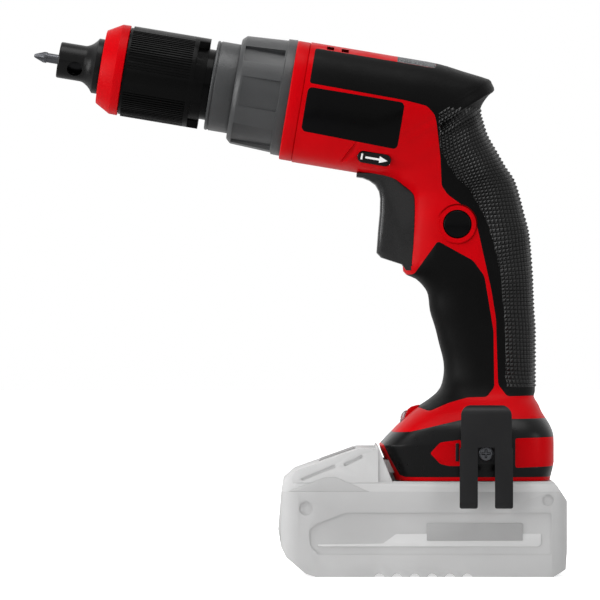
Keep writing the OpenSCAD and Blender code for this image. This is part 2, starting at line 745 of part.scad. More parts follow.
module nosepiece() {
    color(black) barrel() difference() {
        turned(concat([[5.6, x_nose], [nose_r - 0.5, x_nose], [nose_r, x_nose + 0.5]],
            [for (i = [0:6]) [nose_r + (nose_flange_r - nose_r) * pow(i / 6, 2), x_flare + flare_l * i / 6]],
            [[nose_flange_r, x_cap_front - 0.01], [10, x_cap_front - 0.01], [10, x_cap - 1.5], [6.4, x_cap - 1.5],
                [6.4, x_nose + 1.8], [5.6, x_nose + 1.8]]));
        rotate([hole_turn, 0, 0]) translate([x_nose + 8.2, 20, 0]) rotate([90, 0, 0])
            cylinder(r = 3.5, h = 40, $fn = arc);
    }
}

// Motor
module stator_core() {
    color(steel) barrel() along(x_stator, x_stator_end) difference() {
        circle(r = stator_r, $fn = fine);
        circle(r = rotor_r + 0.5, $fn = fine);
        for (i = [0:5]) rotate(60 * i) {
            translate([0, rotor_r + 5]) circle(r = 3.2, $fn = arc);
            translate([-0.8, rotor_r]) square([1.6, 4]);
        }
    }
}
module stator_windings() {
    color("#b5652a") barrel() for (x = [[x_stator - 3.2, x_stator], [x_stator_end, x_stator_end + 3.2]], i = [0:5])
        rotate([60 * i + 30, 0, 0]) along(x[0], x[1]) translate([0, rotor_r + 4.8])
            rounded(1.2) square([8.5, 6], center = true);
}
module rotor_core() {
    color(steel) barrel() tube(rotor_r, shaft_r, x_stator - 1, x_stator_end + 1);
}
x_fan = x_house + 2;
module rotor_shaft() {
    color(steel) barrel() {
        rod(2, x_gears + 0.5, x_band - 1.5);
        rod(shaft_r, x_band - 1.5, x_rear_bearing + bearing_w);
    }
}
module fan() {
    color(black) barrel() {
        tube(stator_r - 1, shaft_r, x_fan, x_fan + 1.5);
        tube(6, shaft_r, x_fan + 1.5, x_fan + 7);
        along(x_fan + 1.5, x_fan + 7) for (i = [0:10]) rotate(360 * i / 11) translate([0, 5.5]) rotate(-25)
            square([1, 13]);
    }
}

// Switch, electronics and light
module switch_module() {
    color(black) barrel() difference() {
        across(-switch_half, switch_half) rounded(1) polygon([[x_switch, -63], [x_switch, -36],
            [x_switch + 22, -36], [x_switch + 22, -63]]);
        translate([0, 0, -48]) rod(2.6, x_switch - 1, x_switch + 11);
        cross_pin(lock_x, lock_z, 2.3, -switch_half - 1, -switch_half + 3.4);
    }
}
module trigger() {
    color(black) barrel() {
        across(-trigger_w / 2, trigger_w / 2) trigger_outline();
        translate([0, 0, -48]) rod(2.5, 7, x_switch + 3);
    }
}
module trigger_spring() {
    color(steel) barrel() translate([7.1, 0, -48]) rotate([0, 90, 0]) coil(3.6, 0.4, x_switch - 7.2, 4);
}
module selector() {
    color(black) barrel() {
        for (side = [0, 1]) mirror([0, side, 0]) across(selector_in, selector_out) at_selector()
            stadium(selector_l, selector_h);
        across(-selector_in, selector_in) translate([selector_x - 4, -24.1]) square([8, 2.7]);
    }
}
module lock_button() {
    color(black) barrel() {
        cross_pin(lock_x, lock_z, lock_r, -lock_face, -switch_half - lock_travel - 0.6);
        cross_pin(lock_x, lock_z, 2, -switch_half - lock_travel - 0.6, -switch_half + 0.2);
    }
}
floor_z = foot_z + 15.8 + wall - 2.5;
module controller_board() {
    color("#1f5c2e") translate([2, -24, floor_z + 1.4]) cube([44, 48, 1.6]);
    color(black) {
        translate([8, -18, floor_z + 3]) cube([14, 14, 6]);
        translate([28, 2, floor_z + 3]) cube([12, 12, 5]);
    }
    color(dark_grey) for (x = [4, 42], y = [-22, 19]) translate([x, y, floor_z]) cube([3, 3, 1.4]);
}
module led_lens() {
    color("#e8eef2") intersection() {
        difference() {
            body(0, 4, 6, false);
            body(2, 4, 6, false);
        }
        across(-led_w / 2, led_w / 2) led_outline();
    }
}
module led_board() {
    color("#1f5c2e") translate([-5, -5, foot_z + 25]) cube([1.2, 10, 2.6]);
}
module terminal_block() {
    color(black) translate([24, -18, rail_top - 2]) cube([22, 36, 2 + gap]);
    color("#b08a3e") for (y = blade_y) translate([blade_x, y - blade_t / 2, rail_top - 6.5])
        cube([18, blade_t, 5]);
}

// Belt hook
hook_leg = 8.2;
hook_low = 31.3;
tab_w = 14;
hook_in = pad_y;
hook_mid = pad_y + hook_t + hook_gap / 2;
hook_bend_z = foot_z + 30.3;
module hook_strip() {
    outer = hook_gap / 2 + hook_t;
    curl = hook_t;
    translate([-hook_in - hook_t, hook_z - 5]) square([hook_t, hook_bend_z - hook_z + 5]);
    translate([-hook_mid, hook_bend_z]) intersection() {
        difference() {
            circle(r = outer, $fn = fine);
            circle(r = hook_gap / 2, $fn = fine);
        }
        translate([-outer, 0]) square([2 * outer, outer]);
    }
    translate([-hook_mid - outer, hook_low + 2 * curl]) square([hook_t, hook_bend_z - hook_low - 2 * curl]);
    translate([-hook_mid - outer + 2 * curl, hook_low + 2 * curl]) intersection() {
        difference() {
            circle(r = 2 * curl, $fn = fine);
            circle(r = curl, $fn = fine);
        }
        translate([-2 * curl, -2 * curl]) square(2 * curl);
    }
}
module hook_front_outline() {
    translate([hook_x, 0]) rounded(1) difference() {
        union() {
            translate([-hook_w / 2, hook_low + 20]) square([hook_w, hook_bend_z - hook_low - 10]);
            translate([-hook_w / 2 - 0.6, hook_low]) square([hook_w + 1.2, 27.8]);
        }
        translate([-hook_w / 2 - 0.6 + hook_leg, hook_low - 5]) square([hook_w + 1.2 - 2 * hook_leg, 32.8]);
    }
}
module belt_hook() {
    color("#2b2b2b") difference() {
        intersection() {
            along(0, 60) hook_strip();
            union() {
                across(-hook_mid - 20, -hook_mid) intersection() {
                    hook_front_outline();
                    translate([hook_x - 20, 0]) square([40, 100]);
                }
                across(-hook_mid, 0) translate([hook_x - tab_w / 2, 0]) square([tab_w, 100]);
            }
        }
        cross_pin(hook_x, hook_z, hook_screw_r + 0.2, -hook_mid, 0);
    }
}
module hook_screw() {
    color(steel) difference() {
        union() {
            cross_pin(hook_x, hook_z, 3.25, -pad_y - hook_t - 2.2, -pad_y - hook_t);
            cross_pin(hook_x, hook_z, hook_screw_r, -pad_y - hook_t, -pad_y + 11);
        }
        for (a = [0, 90]) translate([hook_x, -pad_y - hook_t - 1.6, hook_z]) rotate([0, a, 0])
            cube([4, 1.6, 0.9], center = true);
    }
}
module housing_screws() {
    color(steel) for (s = screw_seats) difference() {
        union() {
            cross_pin(s[0][0], s[0][1], screw_head_r, s[1] + 0.01, s[1] + 2);
            cross_pin(s[0][0], s[0][1], screw_r, -8, s[1] + 0.01);
        }
        for (a = [0, 90]) translate([s[0][0], s[1] + 1.7, s[0][1]]) rotate([0, a, 0])
            cube([3.6, 1.2, 0.8], center = true);
    }
}

// Battery pack
pack_split = deck_h - 4.6;
hump_top = foot_z + 14.6;
hump_rear = -20.6;
module pack_side() {
    polygon([[-48.8, 0], [59.1, 0], [64.9, 3.4], [65.6, 12], [65.6, deck_h - 9], [60.9, deck_h - 2],
        [59.1, deck_h], [hump_rear, deck_h], [hump_rear, hump_top], [-30, hump_top], [-58.6, deck_h + 4.8],
        [-63.8, deck_h + 0.3], [-64.7, deck_h - 5.3], [-66.1, 21.6], [-64.7, 13.7], [-62.4, 9], [-53.5, 1.5]]);
}
module pack_plan(inset) {
    rounded(9) translate([-66.2 + inset, -pack_w / 2 + inset]) square([131.9 - 2 * inset, pack_w - 2 * inset]);
}
module pack_outer(inset = 0) {
    intersection() {
        across(-pack_w, pack_w) offset(delta = -inset) pack_side();
        translate([0, 0, -1]) linear_extrude(hump_top + 5) pack_plan(inset);
    }
}
pack_screws = [for (x = [-52, 54], y = [-26, 26]) [x, y]];
pack_screw_r = 1.5;
module pack_posts(r, z0, z1) {
    for (p = pack_screws) translate([p[0], p[1], z0]) cylinder(r = r, h = z1 - z0, $fn = arc);
}
module battery_lower_case() {
    color(pale_grey) difference() {
        union() {
            difference() {
                pack_outer();
                pack_outer(pack_wall);
            }
            intersection() {
                pack_outer();
                pack_posts(boss_r, 0, pack_split);
            }
        }
        translate([-100, -100, pack_split]) cube([200, 200, 100]);
        pack_posts(pack_screw_r + 0.1, -1, pack_split + 1);
        pack_posts(screw_head_r + 0.2, -1, 5);
    }
}
button_x = [-47, -31];
button_w = 23;
button_low = deck_h + 2.6;
button_floor = pack_split + 2;
module button_outline() {
    polygon([[button_x[0], button_low], [button_x[1], button_low], [button_x[1], hump_top + 0.5],
        [button_x[0], hump_top - 5.2]]);
}
blade_y = [-13, -4.5, 4.5, 13];
blade_x = 26;
blade_t = 0.8;
slot_w = 4.2;
board_t = 1.2;
cell_cols = 5;
cell_pitch = 2 * cell_r + 1.3;
cell_low = pack_wall + cell_r + 0.1;
cell_rows_z = [cell_low, cell_low + 2 * cell_r + 0.2];
board_z = cell_rows_z[1] + cell_r + 0.2;
module battery_upper_case() {
    color(pale_grey) difference() {
        union() {
            difference() {
                pack_outer();
                pack_outer(pack_wall);
            }
            for (side = [0, 1]) mirror([0, side, 0]) along(hump_rear - 1, rail_end) difference() {
                rail_shape(0);
                translate([-2, foot_z - 8]) square([100, 7]);
            }
            intersection() {
                pack_outer();
                translate([button_x[0] - 2, -button_w / 2 - 2, button_floor - 1.2])
                    cube([button_x[1] - button_x[0] + 4, button_w + 4, 30]);
            }
            intersection() {
                pack_outer();
                pack_posts(boss_r, pack_split, hump_top);
            }
        }
        translate([-100, -100, -100]) cube([200, 200, 100 + pack_split]);
        pack_posts(pack_screw_r, pack_split - 1, deck_h - 0.8);
        across(-button_w / 2 - gap, button_w / 2 + gap) {
            offset(delta = gap) button_outline();
            translate([button_x[0] - gap, button_floor]) square([button_x[1] - button_x[0] + 2 * gap, 10]);
        }
        for (y = blade_y) translate([blade_x - 1, y - slot_w / 2, 0]) {
            translate([0, 0, deck_h + 1.6]) cube([40, slot_w, 20]);
            translate([2, 0, pack_split]) cube([14, slot_w, 20]);
        }
        translate([23.4, -18 - gap, rail_top - 2 - gap]) cube([40, 36 + 2 * gap, 10]);
    }
}
function cell_x(i) = 1 + (i - (cell_cols - 1) / 2) * cell_pitch;
module battery_cells() {
    color("#3d7f5a") for (i = [0:cell_cols - 1], z = cell_rows_z)
        cross_pin(cell_x(i), z, cell_r, -cell_len / 2, cell_len / 2);
}
module cell_frame() {
    color(black) for (s = [-1, 1]) difference() {
        translate([cell_x(0) - cell_pitch / 2, s * cell_len * 0.36 - 3, pack_wall])
            cube([cell_cols * cell_pitch, 6, board_z - pack_wall]);
        for (i = [0:cell_cols - 1], z = cell_rows_z) cross_pin(cell_x(i), z, cell_r, -cell_len / 2, cell_len / 2);
    }
}
module battery_board() {
    color("#1f5c2e") translate([-18, -24, board_z]) cube([62, 48, board_t]);
}
module battery_contacts() {
    color("#b08a3e") for (y = blade_y, side = [-1, 1])
        translate([blade_x + 2, y + side * (blade_t / 2 + 0.9) - 0.5, board_z + board_t])
            cube([12, 1, rail_top - 2 - gap - board_z - board_t]);
}
module release_button() {
    color(black) across(-button_w / 2, button_w / 2) rounded(0.8) button_outline();
}
module release_spring() {
    color(steel) translate([-39, 0, button_floor]) coil(3, 0.4, button_low - button_floor - 0.1, 3);
}
module battery_screws() {
    color(steel) {
        pack_posts(pack_screw_r, 4.9, deck_h - 1);
        pack_posts(screw_head_r, 3, 5);
    }
}

housing_left();
housing_right();
rear_grip_left();
rear_grip_right();
front_grip_left();
front_grip_right();
side_plate_left();
side_plate_right();
top_insert();
foot_band_left();
foot_band_right();
motor_flange();
motor_bracket();
gearbox_housing();
nose_ring();
guide_sleeve();
spindle_bearing();
ring_gear();
front_motor_bearing();
rear_motor_bearing();
stator_core();
stator_windings();
switch_module();
controller_board();
led_board();
led_lens();
terminal_block();
belt_hook();
hook_screw();
housing_screws();
rotor_shaft();
rotor_core();
fan();
sun_gear();
planet_carrier();
planet_gear_1();
planet_gear_2();
planet_gear_3();
clutch_spring();
spindle();
bit_holder();
holder_magnet();
screwdriver_bit();
depth_collar();
front_cap();
nosepiece();
trigger();
trigger_spring();
selector();
lock_button();
battery_lower_case();
battery_upper_case();
battery_cells();
cell_frame();
battery_board();
battery_contacts();
release_button();
release_spring();
battery_screws();
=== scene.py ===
import json
import math
import bpy
import bmesh
from mathutils import Matrix, Vector


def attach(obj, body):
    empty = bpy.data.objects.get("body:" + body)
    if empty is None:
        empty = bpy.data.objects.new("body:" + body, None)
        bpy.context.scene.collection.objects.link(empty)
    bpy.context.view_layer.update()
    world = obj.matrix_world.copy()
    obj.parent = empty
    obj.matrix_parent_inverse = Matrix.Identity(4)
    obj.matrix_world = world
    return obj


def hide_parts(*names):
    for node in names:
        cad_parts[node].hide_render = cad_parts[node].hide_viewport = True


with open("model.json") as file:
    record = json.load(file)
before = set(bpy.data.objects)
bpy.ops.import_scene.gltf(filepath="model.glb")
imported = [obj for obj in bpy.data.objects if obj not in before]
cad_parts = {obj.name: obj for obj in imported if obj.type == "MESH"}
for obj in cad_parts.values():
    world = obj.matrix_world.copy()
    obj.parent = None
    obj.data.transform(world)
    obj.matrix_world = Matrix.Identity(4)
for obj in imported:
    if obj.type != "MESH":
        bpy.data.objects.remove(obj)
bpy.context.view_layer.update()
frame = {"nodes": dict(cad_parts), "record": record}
nodes = frame["nodes"]
print("frame loaded,", len(nodes), "nodes")

# Sizes are written in millimetres and turned into metres once
mm = 0.001
tool = {
    "barrelHeight": 208.7, "tilt": 9.5, "footZ": 43.7, "housingFront": -56.0, "motorTop": 27.0,
    "motorLow": -28.8, "motorHalf": 29.0, "gripHalf": 17.0,
}
tiltAngle = math.radians(tool["tilt"])
barrel = Matrix.Translation((0, 0, tool["barrelHeight"] * mm)) @ Matrix.Rotation(tiltAngle, 4, "Y")


def onBarrel(x, z):
    # a place along and above the barrel line, as a place (x, z) in the side view
    return (x * math.cos(tiltAngle) + z * math.sin(tiltAngle),
            tool["barrelHeight"] - x * math.sin(tiltAngle) + z * math.cos(tiltAngle))


# Small tools for working on one piece at a time

def pick(piece):
    if bpy.context.object and bpy.context.object.mode != "OBJECT":
        bpy.ops.object.mode_set(mode="OBJECT")
    bpy.ops.object.select_all(action="DESELECT")
    piece.hide_set(False)
    piece.select_set(True)
    bpy.context.view_layer.objects.active = piece
    return piece


def edit(piece, mode="VERT"):
    pick(piece)
    bpy.ops.object.mode_set(mode="EDIT")
    bpy.ops.mesh.select_mode(type=mode)
    bpy.ops.mesh.select_all(action="DESELECT")
    return bmesh.from_edit_mesh(piece.data)


def done(piece):
    bmesh.update_edit_mesh(piece.data)
    bpy.ops.object.mode_set(mode="OBJECT")
    return piece


def modify(piece, kind, **settings):
    pick(piece)
    modifier = piece.modifiers.new(kind.title(), kind)
    for key, value in settings.items():
        setattr(modifier, key, value)
    bpy.ops.object.modifier_apply(modifier=modifier.name)
    return piece


def cut(piece, cutter, way="DIFFERENCE", keep=False):
    modify(piece, "BOOLEAN", object=cutter, operation=way, solver="EXACT")
    if not keep:
        bpy.data.objects.remove(cutter)
    return piece


def copyOf(piece, name):
    twin = piece.copy()
    twin.data = piece.data.copy()
    twin.name = name
    twin.parent = None
    bpy.context.scene.collection.objects.link(twin)
    twin.hide_render = False
    twin.hide_viewport = False
    for key in list(twin.keys()):
        if key.startswith("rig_"):
            del twin[key]
    return twin


def cleaned(piece, distance=0.00002):
    edit(piece)
    bpy.ops.mesh.select_all(action="SELECT")
    bpy.ops.mesh.remove_doubles(threshold=distance)
    bpy.ops.mesh.normals_make_consistent(inside=False)
    return done(piece)


def soften(piece, width=0.3, segments=2, angle=35):
    return modify(piece, "BEVEL", width=width * mm, segments=segments, limit_method="ANGLE",
                  angle_limit=math.radians(angle), use_clamp_overlap=True, harden_normals=False)


def smooth(piece, angle=38):
    pick(piece)
    bpy.ops.object.shade_smooth_by_angle(angle=math.radians(angle))
    return piece


def place(piece, matrix):
    piece.data.transform(matrix)
    return piece


def mirrored(piece, name):
    twin = copyOf(piece, name)
    twin.data.transform(Matrix.Scale(-1, 4, (0, 1, 0)))
    twin.data.flip_normals()
    return twin


def outline(name, points, fill="NGON"):
    # a ring of corners, each moved to its place (x, z) in the side view
    bpy.ops.object.select_all(action="DESELECT")
    bpy.ops.mesh.primitive_circle_add(vertices=len(points), radius=0.01, fill_type=fill)
    piece = bpy.context.object
    piece.name = name
    for vertex, (x, z) in zip(piece.data.vertices, points):
        vertex.co = (x * mm, 0, z * mm)
    return piece


def prism(name, points, low, high, radius=0.0, segments=5):
    # a side outline pulled across the tool, with its corners rounded
    piece = outline(name, points)
    edit(piece)
    bpy.ops.mesh.select_all(action="SELECT")
    if radius:
        bpy.ops.mesh.bevel(offset=radius * mm, segments=segments, affect="VERTICES")
    bpy.ops.mesh.select_all(action="SELECT")
    bpy.ops.transform.translate(value=(0, low * mm, 0))
    bpy.ops.mesh.extrude_region_move(TRANSFORM_OT_translate={"value": (0, (high - low) * mm, 0)})
    bpy.ops.mesh.select_all(action="SELECT")
    bpy.ops.mesh.normals_make_consistent(inside=False)
    return done(piece)


def turned(name, profile, steps=96):
    # a closed profile of (place, radius) spun round the barrel line
    piece = outline(name, profile, "NOTHING")
    edit(piece)
    bpy.ops.mesh.select_all(action="SELECT")
    bpy.ops.mesh.spin(steps=steps, angle=2 * math.pi, center=(0, 0, 0), axis=(1, 0, 0))
    bpy.ops.mesh.select_all(action="SELECT")
    bpy.ops.mesh.remove_doubles(threshold=0.00001)
    bpy.ops.mesh.normals_make_consistent(inside=False)
    return done(piece)


def drum(name, place0, place1, radius, across=False, at=(0, 0), sides=64):
    # a round bar along the barrel, or across it at a place (x, z)
    bpy.ops.object.select_all(action="DESELECT")
    bpy.ops.mesh.primitive_cylinder_add(vertices=sides, radius=radius * mm, depth=(place1 - place0) * mm)
    piece = bpy.context.object
    piece.name = name
    middle = (place0 + place1) / 2 * mm
    if across:
        piece.data.transform(Matrix.Rotation(math.pi / 2, 4, "X"))
        piece.data.transform(Matrix.Translation((at[0] * mm, middle, at[1] * mm)))
    else:
        piece.data.transform(Matrix.Rotation(math.pi / 2, 4, "Y"))
        piece.data.transform(Matrix.Translation((middle, 0, 0)))
    return piece


def block(name, low, high):
    bpy.ops.object.select_all(action="DESELECT")
    bpy.ops.mesh.primitive_cube_add(size=1)
    piece = bpy.context.object
    piece.name = name
    size = [(b - a) * mm for a, b in zip(low, high)]
    middle = [(a + b) / 2 * mm for a, b in zip(low, high)]
    piece.data.transform(Matrix.Translation(middle) @ Matrix.Diagonal((*size, 1)))
    return piece


# Finishes

def linear(value):
    return value / 12.92 if value <= 0.04045 else ((value + 0.055) / 1.055) ** 2.4


def colour(hexCode):
    return [linear(int(hexCode[i:i + 2], 16) / 255) for i in (1, 3, 5)] + [1]


finishes = {
    "redShell": {"colour": "#c6000a", "second": "#ba0008", "rough": 0.38, "grain": 2600, "depth": 0.05,
                 "gloss": 0.05},
    "softGrip": {"colour": "#0a0a0a", "second": "#060606", "rough": 0.42, "grain": 2600, "depth": 0.3,
                 "gloss": 0.05},
    "knurlRubber": {"colour": "#0d0d0d", "second": "#090909", "rough": 0.3, "grain": 2600, "depth": 0.1,
                    "gloss": 0.3},
    "blackShell": {"colour": "#070708", "second": "#040404", "rough": 0.3, "grain": 2200, "depth": 0.08,
                   "gloss": 0.14},
    "triggerBlack": {"colour": "#0a0a0b", "second": "#070707", "rough": 0.27, "grain": 2200, "depth": 0.06,
                     "gloss": 0.36},
    "plateBlack": {"colour": "#050506", "second": "#040404", "rough": 0.2, "grain": 1500, "depth": 0.02,
                   "gloss": 0.06},
    "collarBlack": {"colour": "#040404", "second": "#030303", "rough": 0.3, "grain": 2400, "depth": 0.05,
                    "gloss": 0.06},
    "greyInsert": {"colour": "#6a6c6e", "second": "#1d1e1f", "rough": 0.5, "grain": 1300, "depth": 0.8,
                   "gloss": 0.4, "cloud": 1500, "spread": 0.06},
    "gearCasting": {"colour": "#343536", "second": "#2a2b2c", "rough": 0.34, "grain": 2300, "depth": 0.6,
                    "gloss": 0.4},
    "hookSteel": {"colour": "#1d1d1e", "second": "#181819", "rough": 0.42, "grain": 3400, "depth": 0.12,
                  "gloss": 0.14},
    "batteryShell": {"colour": "#bcbcbc", "second": "#b6b6b6", "rough": 0.45, "grain": 2400, "depth": 0.06,
                     "gloss": 0.3},
    "batteryPale": {"colour": "#cccccc", "second": "#c6c6c6", "rough": 0.42, "grain": 2400, "depth": 0.05,
                    "gloss": 0.3},
    "batteryDark": {"colour": "#a6a6a6", "second": "#9e9e9e", "rough": 0.45, "grain": 1800, "depth": 0.2,
                    "gloss": 0.3},
    "boardGreen": {"colour": "#1f5c2e", "second": "#184a25", "rough": 0.45, "grain": 1500, "depth": 0.05,
                   "gloss": 0.5},
    "cellWrap": {"colour": "#3d7f5a", "second": "#356f4e", "rough": 0.35, "grain": 1200, "depth": 0.04,
                 "gloss": 0.5},
    "whiteMark": {"colour": "#f2f2f2", "second": "#e6e6e6", "rough": 0.5, "grain": 2000, "depth": 0.05,
                  "gloss": 0.4},
}
metals = {
    "brightSteel": {"colour": "#a4a5a8", "rough": 0.3, "brush": (400, 60, 60), "depth": 0.08},
    "darkSteel": {"colour": "#4a4b4e", "rough": 0.28, "brush": (300, 40, 40), "depth": 0.08},
    # near-black steel for the bit holder: painted shade, so that the nose hole reads dark
    "shadeBlackSteel": {"colour": "#1b1b1c", "rough": 0.34, "brush": (300, 40, 40), "depth": 0.06},
    "copperWire": {"colour": "#b5652a", "rough": 0.35, "brush": (60, 900, 900), "depth": 0.3},
}
lens = {"colour": "#eef1f4", "clear": 0.85, "bend": 1.49, "ripple": 350, "rough": (0.05, 0.14)}


def newMaterial(name):
    material = bpy.data.materials.new(name)
    material.use_nodes = True
    tree = material.node_tree
    shader = tree.nodes["Principled BSDF"]
    coordinates = tree.nodes.new("ShaderNodeTexCoord")
    return material, tree, shader, coordinates


def noiseOf(tree, vector, scale, detail=3.0):
    noise = tree.nodes.new("ShaderNodeTexNoise")
    noise.inputs["Scale"].default_value = scale
    noise.inputs["Detail"].default_value = detail
    tree.links.new(vector, noise.inputs["Vector"])
    return noise.outputs["Fac"]


def ranged(tree, value, low, high, spread=0.2):
    node = tree.nodes.new("ShaderNodeMapRange")
    node.inputs["From Min"].default_value = 0.5 - spread
    node.inputs["From Max"].default_value = 0.5 + spread
    node.inputs["To Min"].default_value = low
    node.inputs["To Max"].default_value = high
    tree.links.new(value, node.inputs["Value"])
    return node.outputs["Result"]


def bumped(tree, shader, height, strength, distance=0.0002):
    bump = tree.nodes.new("ShaderNodeBump")
    bump.inputs["Strength"].default_value = strength
    bump.inputs["Distance"].default_value = distance
    tree.links.new(height, bump.inputs["Height"])
    tree.links.new(bump.outputs["Normal"], shader.inputs["Normal"])


def mouldedPlastic(name, look):
    # two close tones in broad clouds, a fine moulded grain, and gloss that varies a little
    material, tree, shader, coordinates = newMaterial(name)
    place = coordinates.outputs["Object"]
    clouds = noiseOf(tree, place, look.get("cloud", 45), 2)
    mix = tree.nodes.new("ShaderNodeMix")
    mix.data_type = "RGBA"
    mix.inputs["A"].default_value = colour(look["colour"])
    mix.inputs["B"].default_value = colour(look["second"])
    share = ranged(tree, clouds, 0, 1, look.get("spread", 0.2))
    tree.links.new(share, mix.inputs["Factor"])
    tree.links.new(mix.outputs["Result"], shader.inputs["Base Color"])
    scuffs = noiseOf(tree, place, 260, 4)
    roughness = ranged(tree, scuffs, look["rough"] - 0.04, look["rough"] + 0.05)
    tree.links.new(roughness, shader.inputs["Roughness"])
    bumped(tree, shader, noiseOf(tree, place, look["grain"], 2), look["depth"])
    shader.inputs["Specular IOR Level"].default_value = look["gloss"]
    return material


def workedMetal(name, look):
    # bare metal with lines from its working, drawn out by the mapping's scale
    material, tree, shader, coordinates = newMaterial(name)
    mapping = tree.nodes.new("ShaderNodeMapping")
    mapping.inputs["Scale"].default_value = look["brush"]
    tree.links.new(coordinates.outputs["Object"], mapping.inputs["Vector"])
    lines = noiseOf(tree, mapping.outputs["Vector"], 6, 4)
    shader.inputs["Base Color"].default_value = colour(look["colour"])
    shader.inputs["Metallic"].default_value = 1
    roughness = ranged(tree, lines, look["rough"] - 0.06, look["rough"] + 0.1)
    tree.links.new(roughness, shader.inputs["Roughness"])
    bumped(tree, shader, lines, look["depth"], 0.0001)
    return material


def clearLens(name, look):
    material, tree, shader, coordinates = newMaterial(name)
    shader.inputs["Base Color"].default_value = colour(look["colour"])
    shader.inputs["Transmission Weight"].default_value = look["clear"]
    shader.inputs["IOR"].default_value = look["bend"]
    ripple = noiseOf(tree, coordinates.outputs["Object"], look["ripple"], 2)
    tree.links.new(ranged(tree, ripple, *look["rough"]), shader.inputs["Roughness"])
    return material


looks = {name: mouldedPlastic(name, look) for name, look in finishes.items()}
looks.update({name: workedMetal(name, look) for name, look in metals.items()})
looks["clearLens"] = clearLens("clearLens", lens)
print("finishes made,", len(looks))


def paint(piece, look):
    piece.data.materials.clear()
    piece.data.materials.append(looks[look])
    return piece


def finished(piece, look, body, *replaced):
    paint(piece, look)
    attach(piece, body)
    if replaced:
        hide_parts(*replaced)
    return piece


def refined(node, name, look, width):
    # a merged copy of a CAD node, with the hard edges softened as a mould or a tumbler leaves them
    piece = cleaned(copyOf(nodes[node], name))
    edit(piece)
    bpy.ops.mesh.select_all(action="SELECT")
    bpy.ops.mesh.dissolve_limited(angle_limit=math.radians(0.8))
    done(piece)
    soften(piece, width)
    smooth(piece)
    return finished(piece, look, bodyOf[node], node)


bodies = frame["record"]["behaviour"]["bodies"]
bodyOf = {node: body for body, members in bodies.items() for node in members}

# Body: the same sections as the housing's loft, run through smoothly

front = tool["housingFront"]
top, low = tool["motorTop"], tool["motorLow"]
footZ = tool["footZ"]
shoulder = tool["motorHalf"] - tool["gripHalf"]
# a section has its front and rear end (x, z), half its width, and how square it is; on the motor the
# half width is a share of the way from the grip's to the motor's
footSections = [
    ((-13, 0), (58.3, 0), 36.5, 5),
    ((-17.2, 9.4), (60.2, 8.3), 37.5, 5),
    ((-19.5, 15.3), (60.2, 16.3), 38, 5),
    ((-18.5, 17.1), (59.9, 21.3), 37.5, 5),
    ((-11.4, 24.6), (58.2, 25.7), 35, 4.5),
    ((-6, 30), (55, 30.8), 30.5, 4),
    ((-3, 32.6), (53.5, 34.3), 27, 3.6),
    ((3.2, 36.8), (51.5, 37.9), 22.5, 3.2),
]
handleSections = [
    ((7.4, 84.2), (52, 84), 20.5, 2.9),
    ((9.2, 87.9), (52, 87.5), 19, 2.6),
    ((10.1, 93.4), (52, 92.5), 18, 2.4),
    ((9.7, 98.9), (52, 98), 17.5, 2.4),
    ((7.8, 106.3), (52, 105.5), 17.2, 2.4),
    ((6, 113.6), (52, 113), 17, 2.4),
    ((3.7, 121), (51.4, 121), 17, 2.4),
    ((2.8, 128.3), (51, 130), 17, 2.4),
    ((0.9, 132), (50.8, 136), 17, 2.4),
    ((-2.8, 135.7), (50.4, 142), 17, 2.4),
]
upperSections = [
    ((2.9, -69.9), (58.7, -49.3), 0, 2.4),
    ((1.9, -59.2), (56.6, -42.2), 0.03, 2.4),
    ((1.1, -48.2), (53.5, -35.3), 0.07, 2.4),
    ((0, -37.4), (47, -21.4), 0.15, 2.4),
    ((-1.4, -34.4), (41.3, -14.9), 0.25, 2.4),
    ((-4.8, -32), (36, -8.4), 0.38, 2.5),
    ((-9.6, -29.5), (30.7, -1.8), 0.5, 2.5),
    ((-13.8, low), (27.2, 5.1), 0.63, 2.5),
    ((-16.8, low), (25.7, 8.6), 0.67, 2.5),
    ((-19.8, low), (26.4, 12.4), 0.71, 2.5),
    ((-22.8, low), (28.5, 16.5), 0.75, 2.6),
    ((-25.8, low), (30.6, 19.2), 0.79, 2.6),
    ((-28.8, low), (28.9, 22.2), 0.83, 2.6),
    ((-31.8, low), (27.4, 23.6), 0.88, 2.7),
    ((-34.8, low), (14.7, 25.3), 0.96, 2.8),
    ((-37.8, low), (3.1, top - 0.2), 1, 2.8),
    ((-41.8, low), (-14.6, top), 1, 2.8),
    ((front, low), (front, top), 1, 2.8),
    ((front - 2, low), (front - 2, top), 1, 2.8),
]
sections = [((a[0], footZ + a[1]), (b[0], footZ + b[1]), half, square) for a, b, half, square in footSections]
sections += handleSections
sections += [(onBarrel(*a), onBarrel(*b), tool["gripHalf"] + shoulder * share, square)
             for a, b, share, square in upperSections]
sections = [(*a, *b, half, square) for a, b, half, square in sections]
bodyEnd = len(sections) - 2


def sectionAt(t):
    # a smooth section between the drawn ones
    i = max(0, min(len(sections) - 2, int(math.floor(t))))
    u = t - i
    before, start, end, after = (sections[max(0, min(len(sections) - 1, i + k))] for k in (-1, 0, 1, 2))
    result = []
    for a, b, c, d in zip(before, start, end, after):
        step = abs(c - b)
        m0 = max(-3 * step, min(3 * step, (c - a) / 2))
        m1 = max(-3 * step, min(3 * step, (d - b) / 2))
        result.append((2 * u**3 - 3 * u**2 + 1) * b + (u**3 - 2 * u**2 + u) * m0
                      + (-2 * u**3 + 3 * u**2) * c + (u**3 - u**2) * m1)
    return result


def bodyPoint(t, angle, inset=0.0):
    frontX, frontZ, rearX, rearZ, half, square = sectionAt(t)
    span = math.hypot(rearX - frontX, rearZ - frontZ)
    wayX, wayZ = (rearX - frontX) / span, (rearZ - frontZ) / span
    c, s = math.cos(angle), math.sin(angle)
    u = (span / 2 - inset) * math.copysign(abs(c) ** (2 / square), c)
    v = (half - inset) * math.copysign(abs(s) ** (2 / square), s)
    return Vector(((frontX + rearX) / 2 + wayX * u, v, (frontZ + rearZ) / 2 + wayZ * u)) * mm


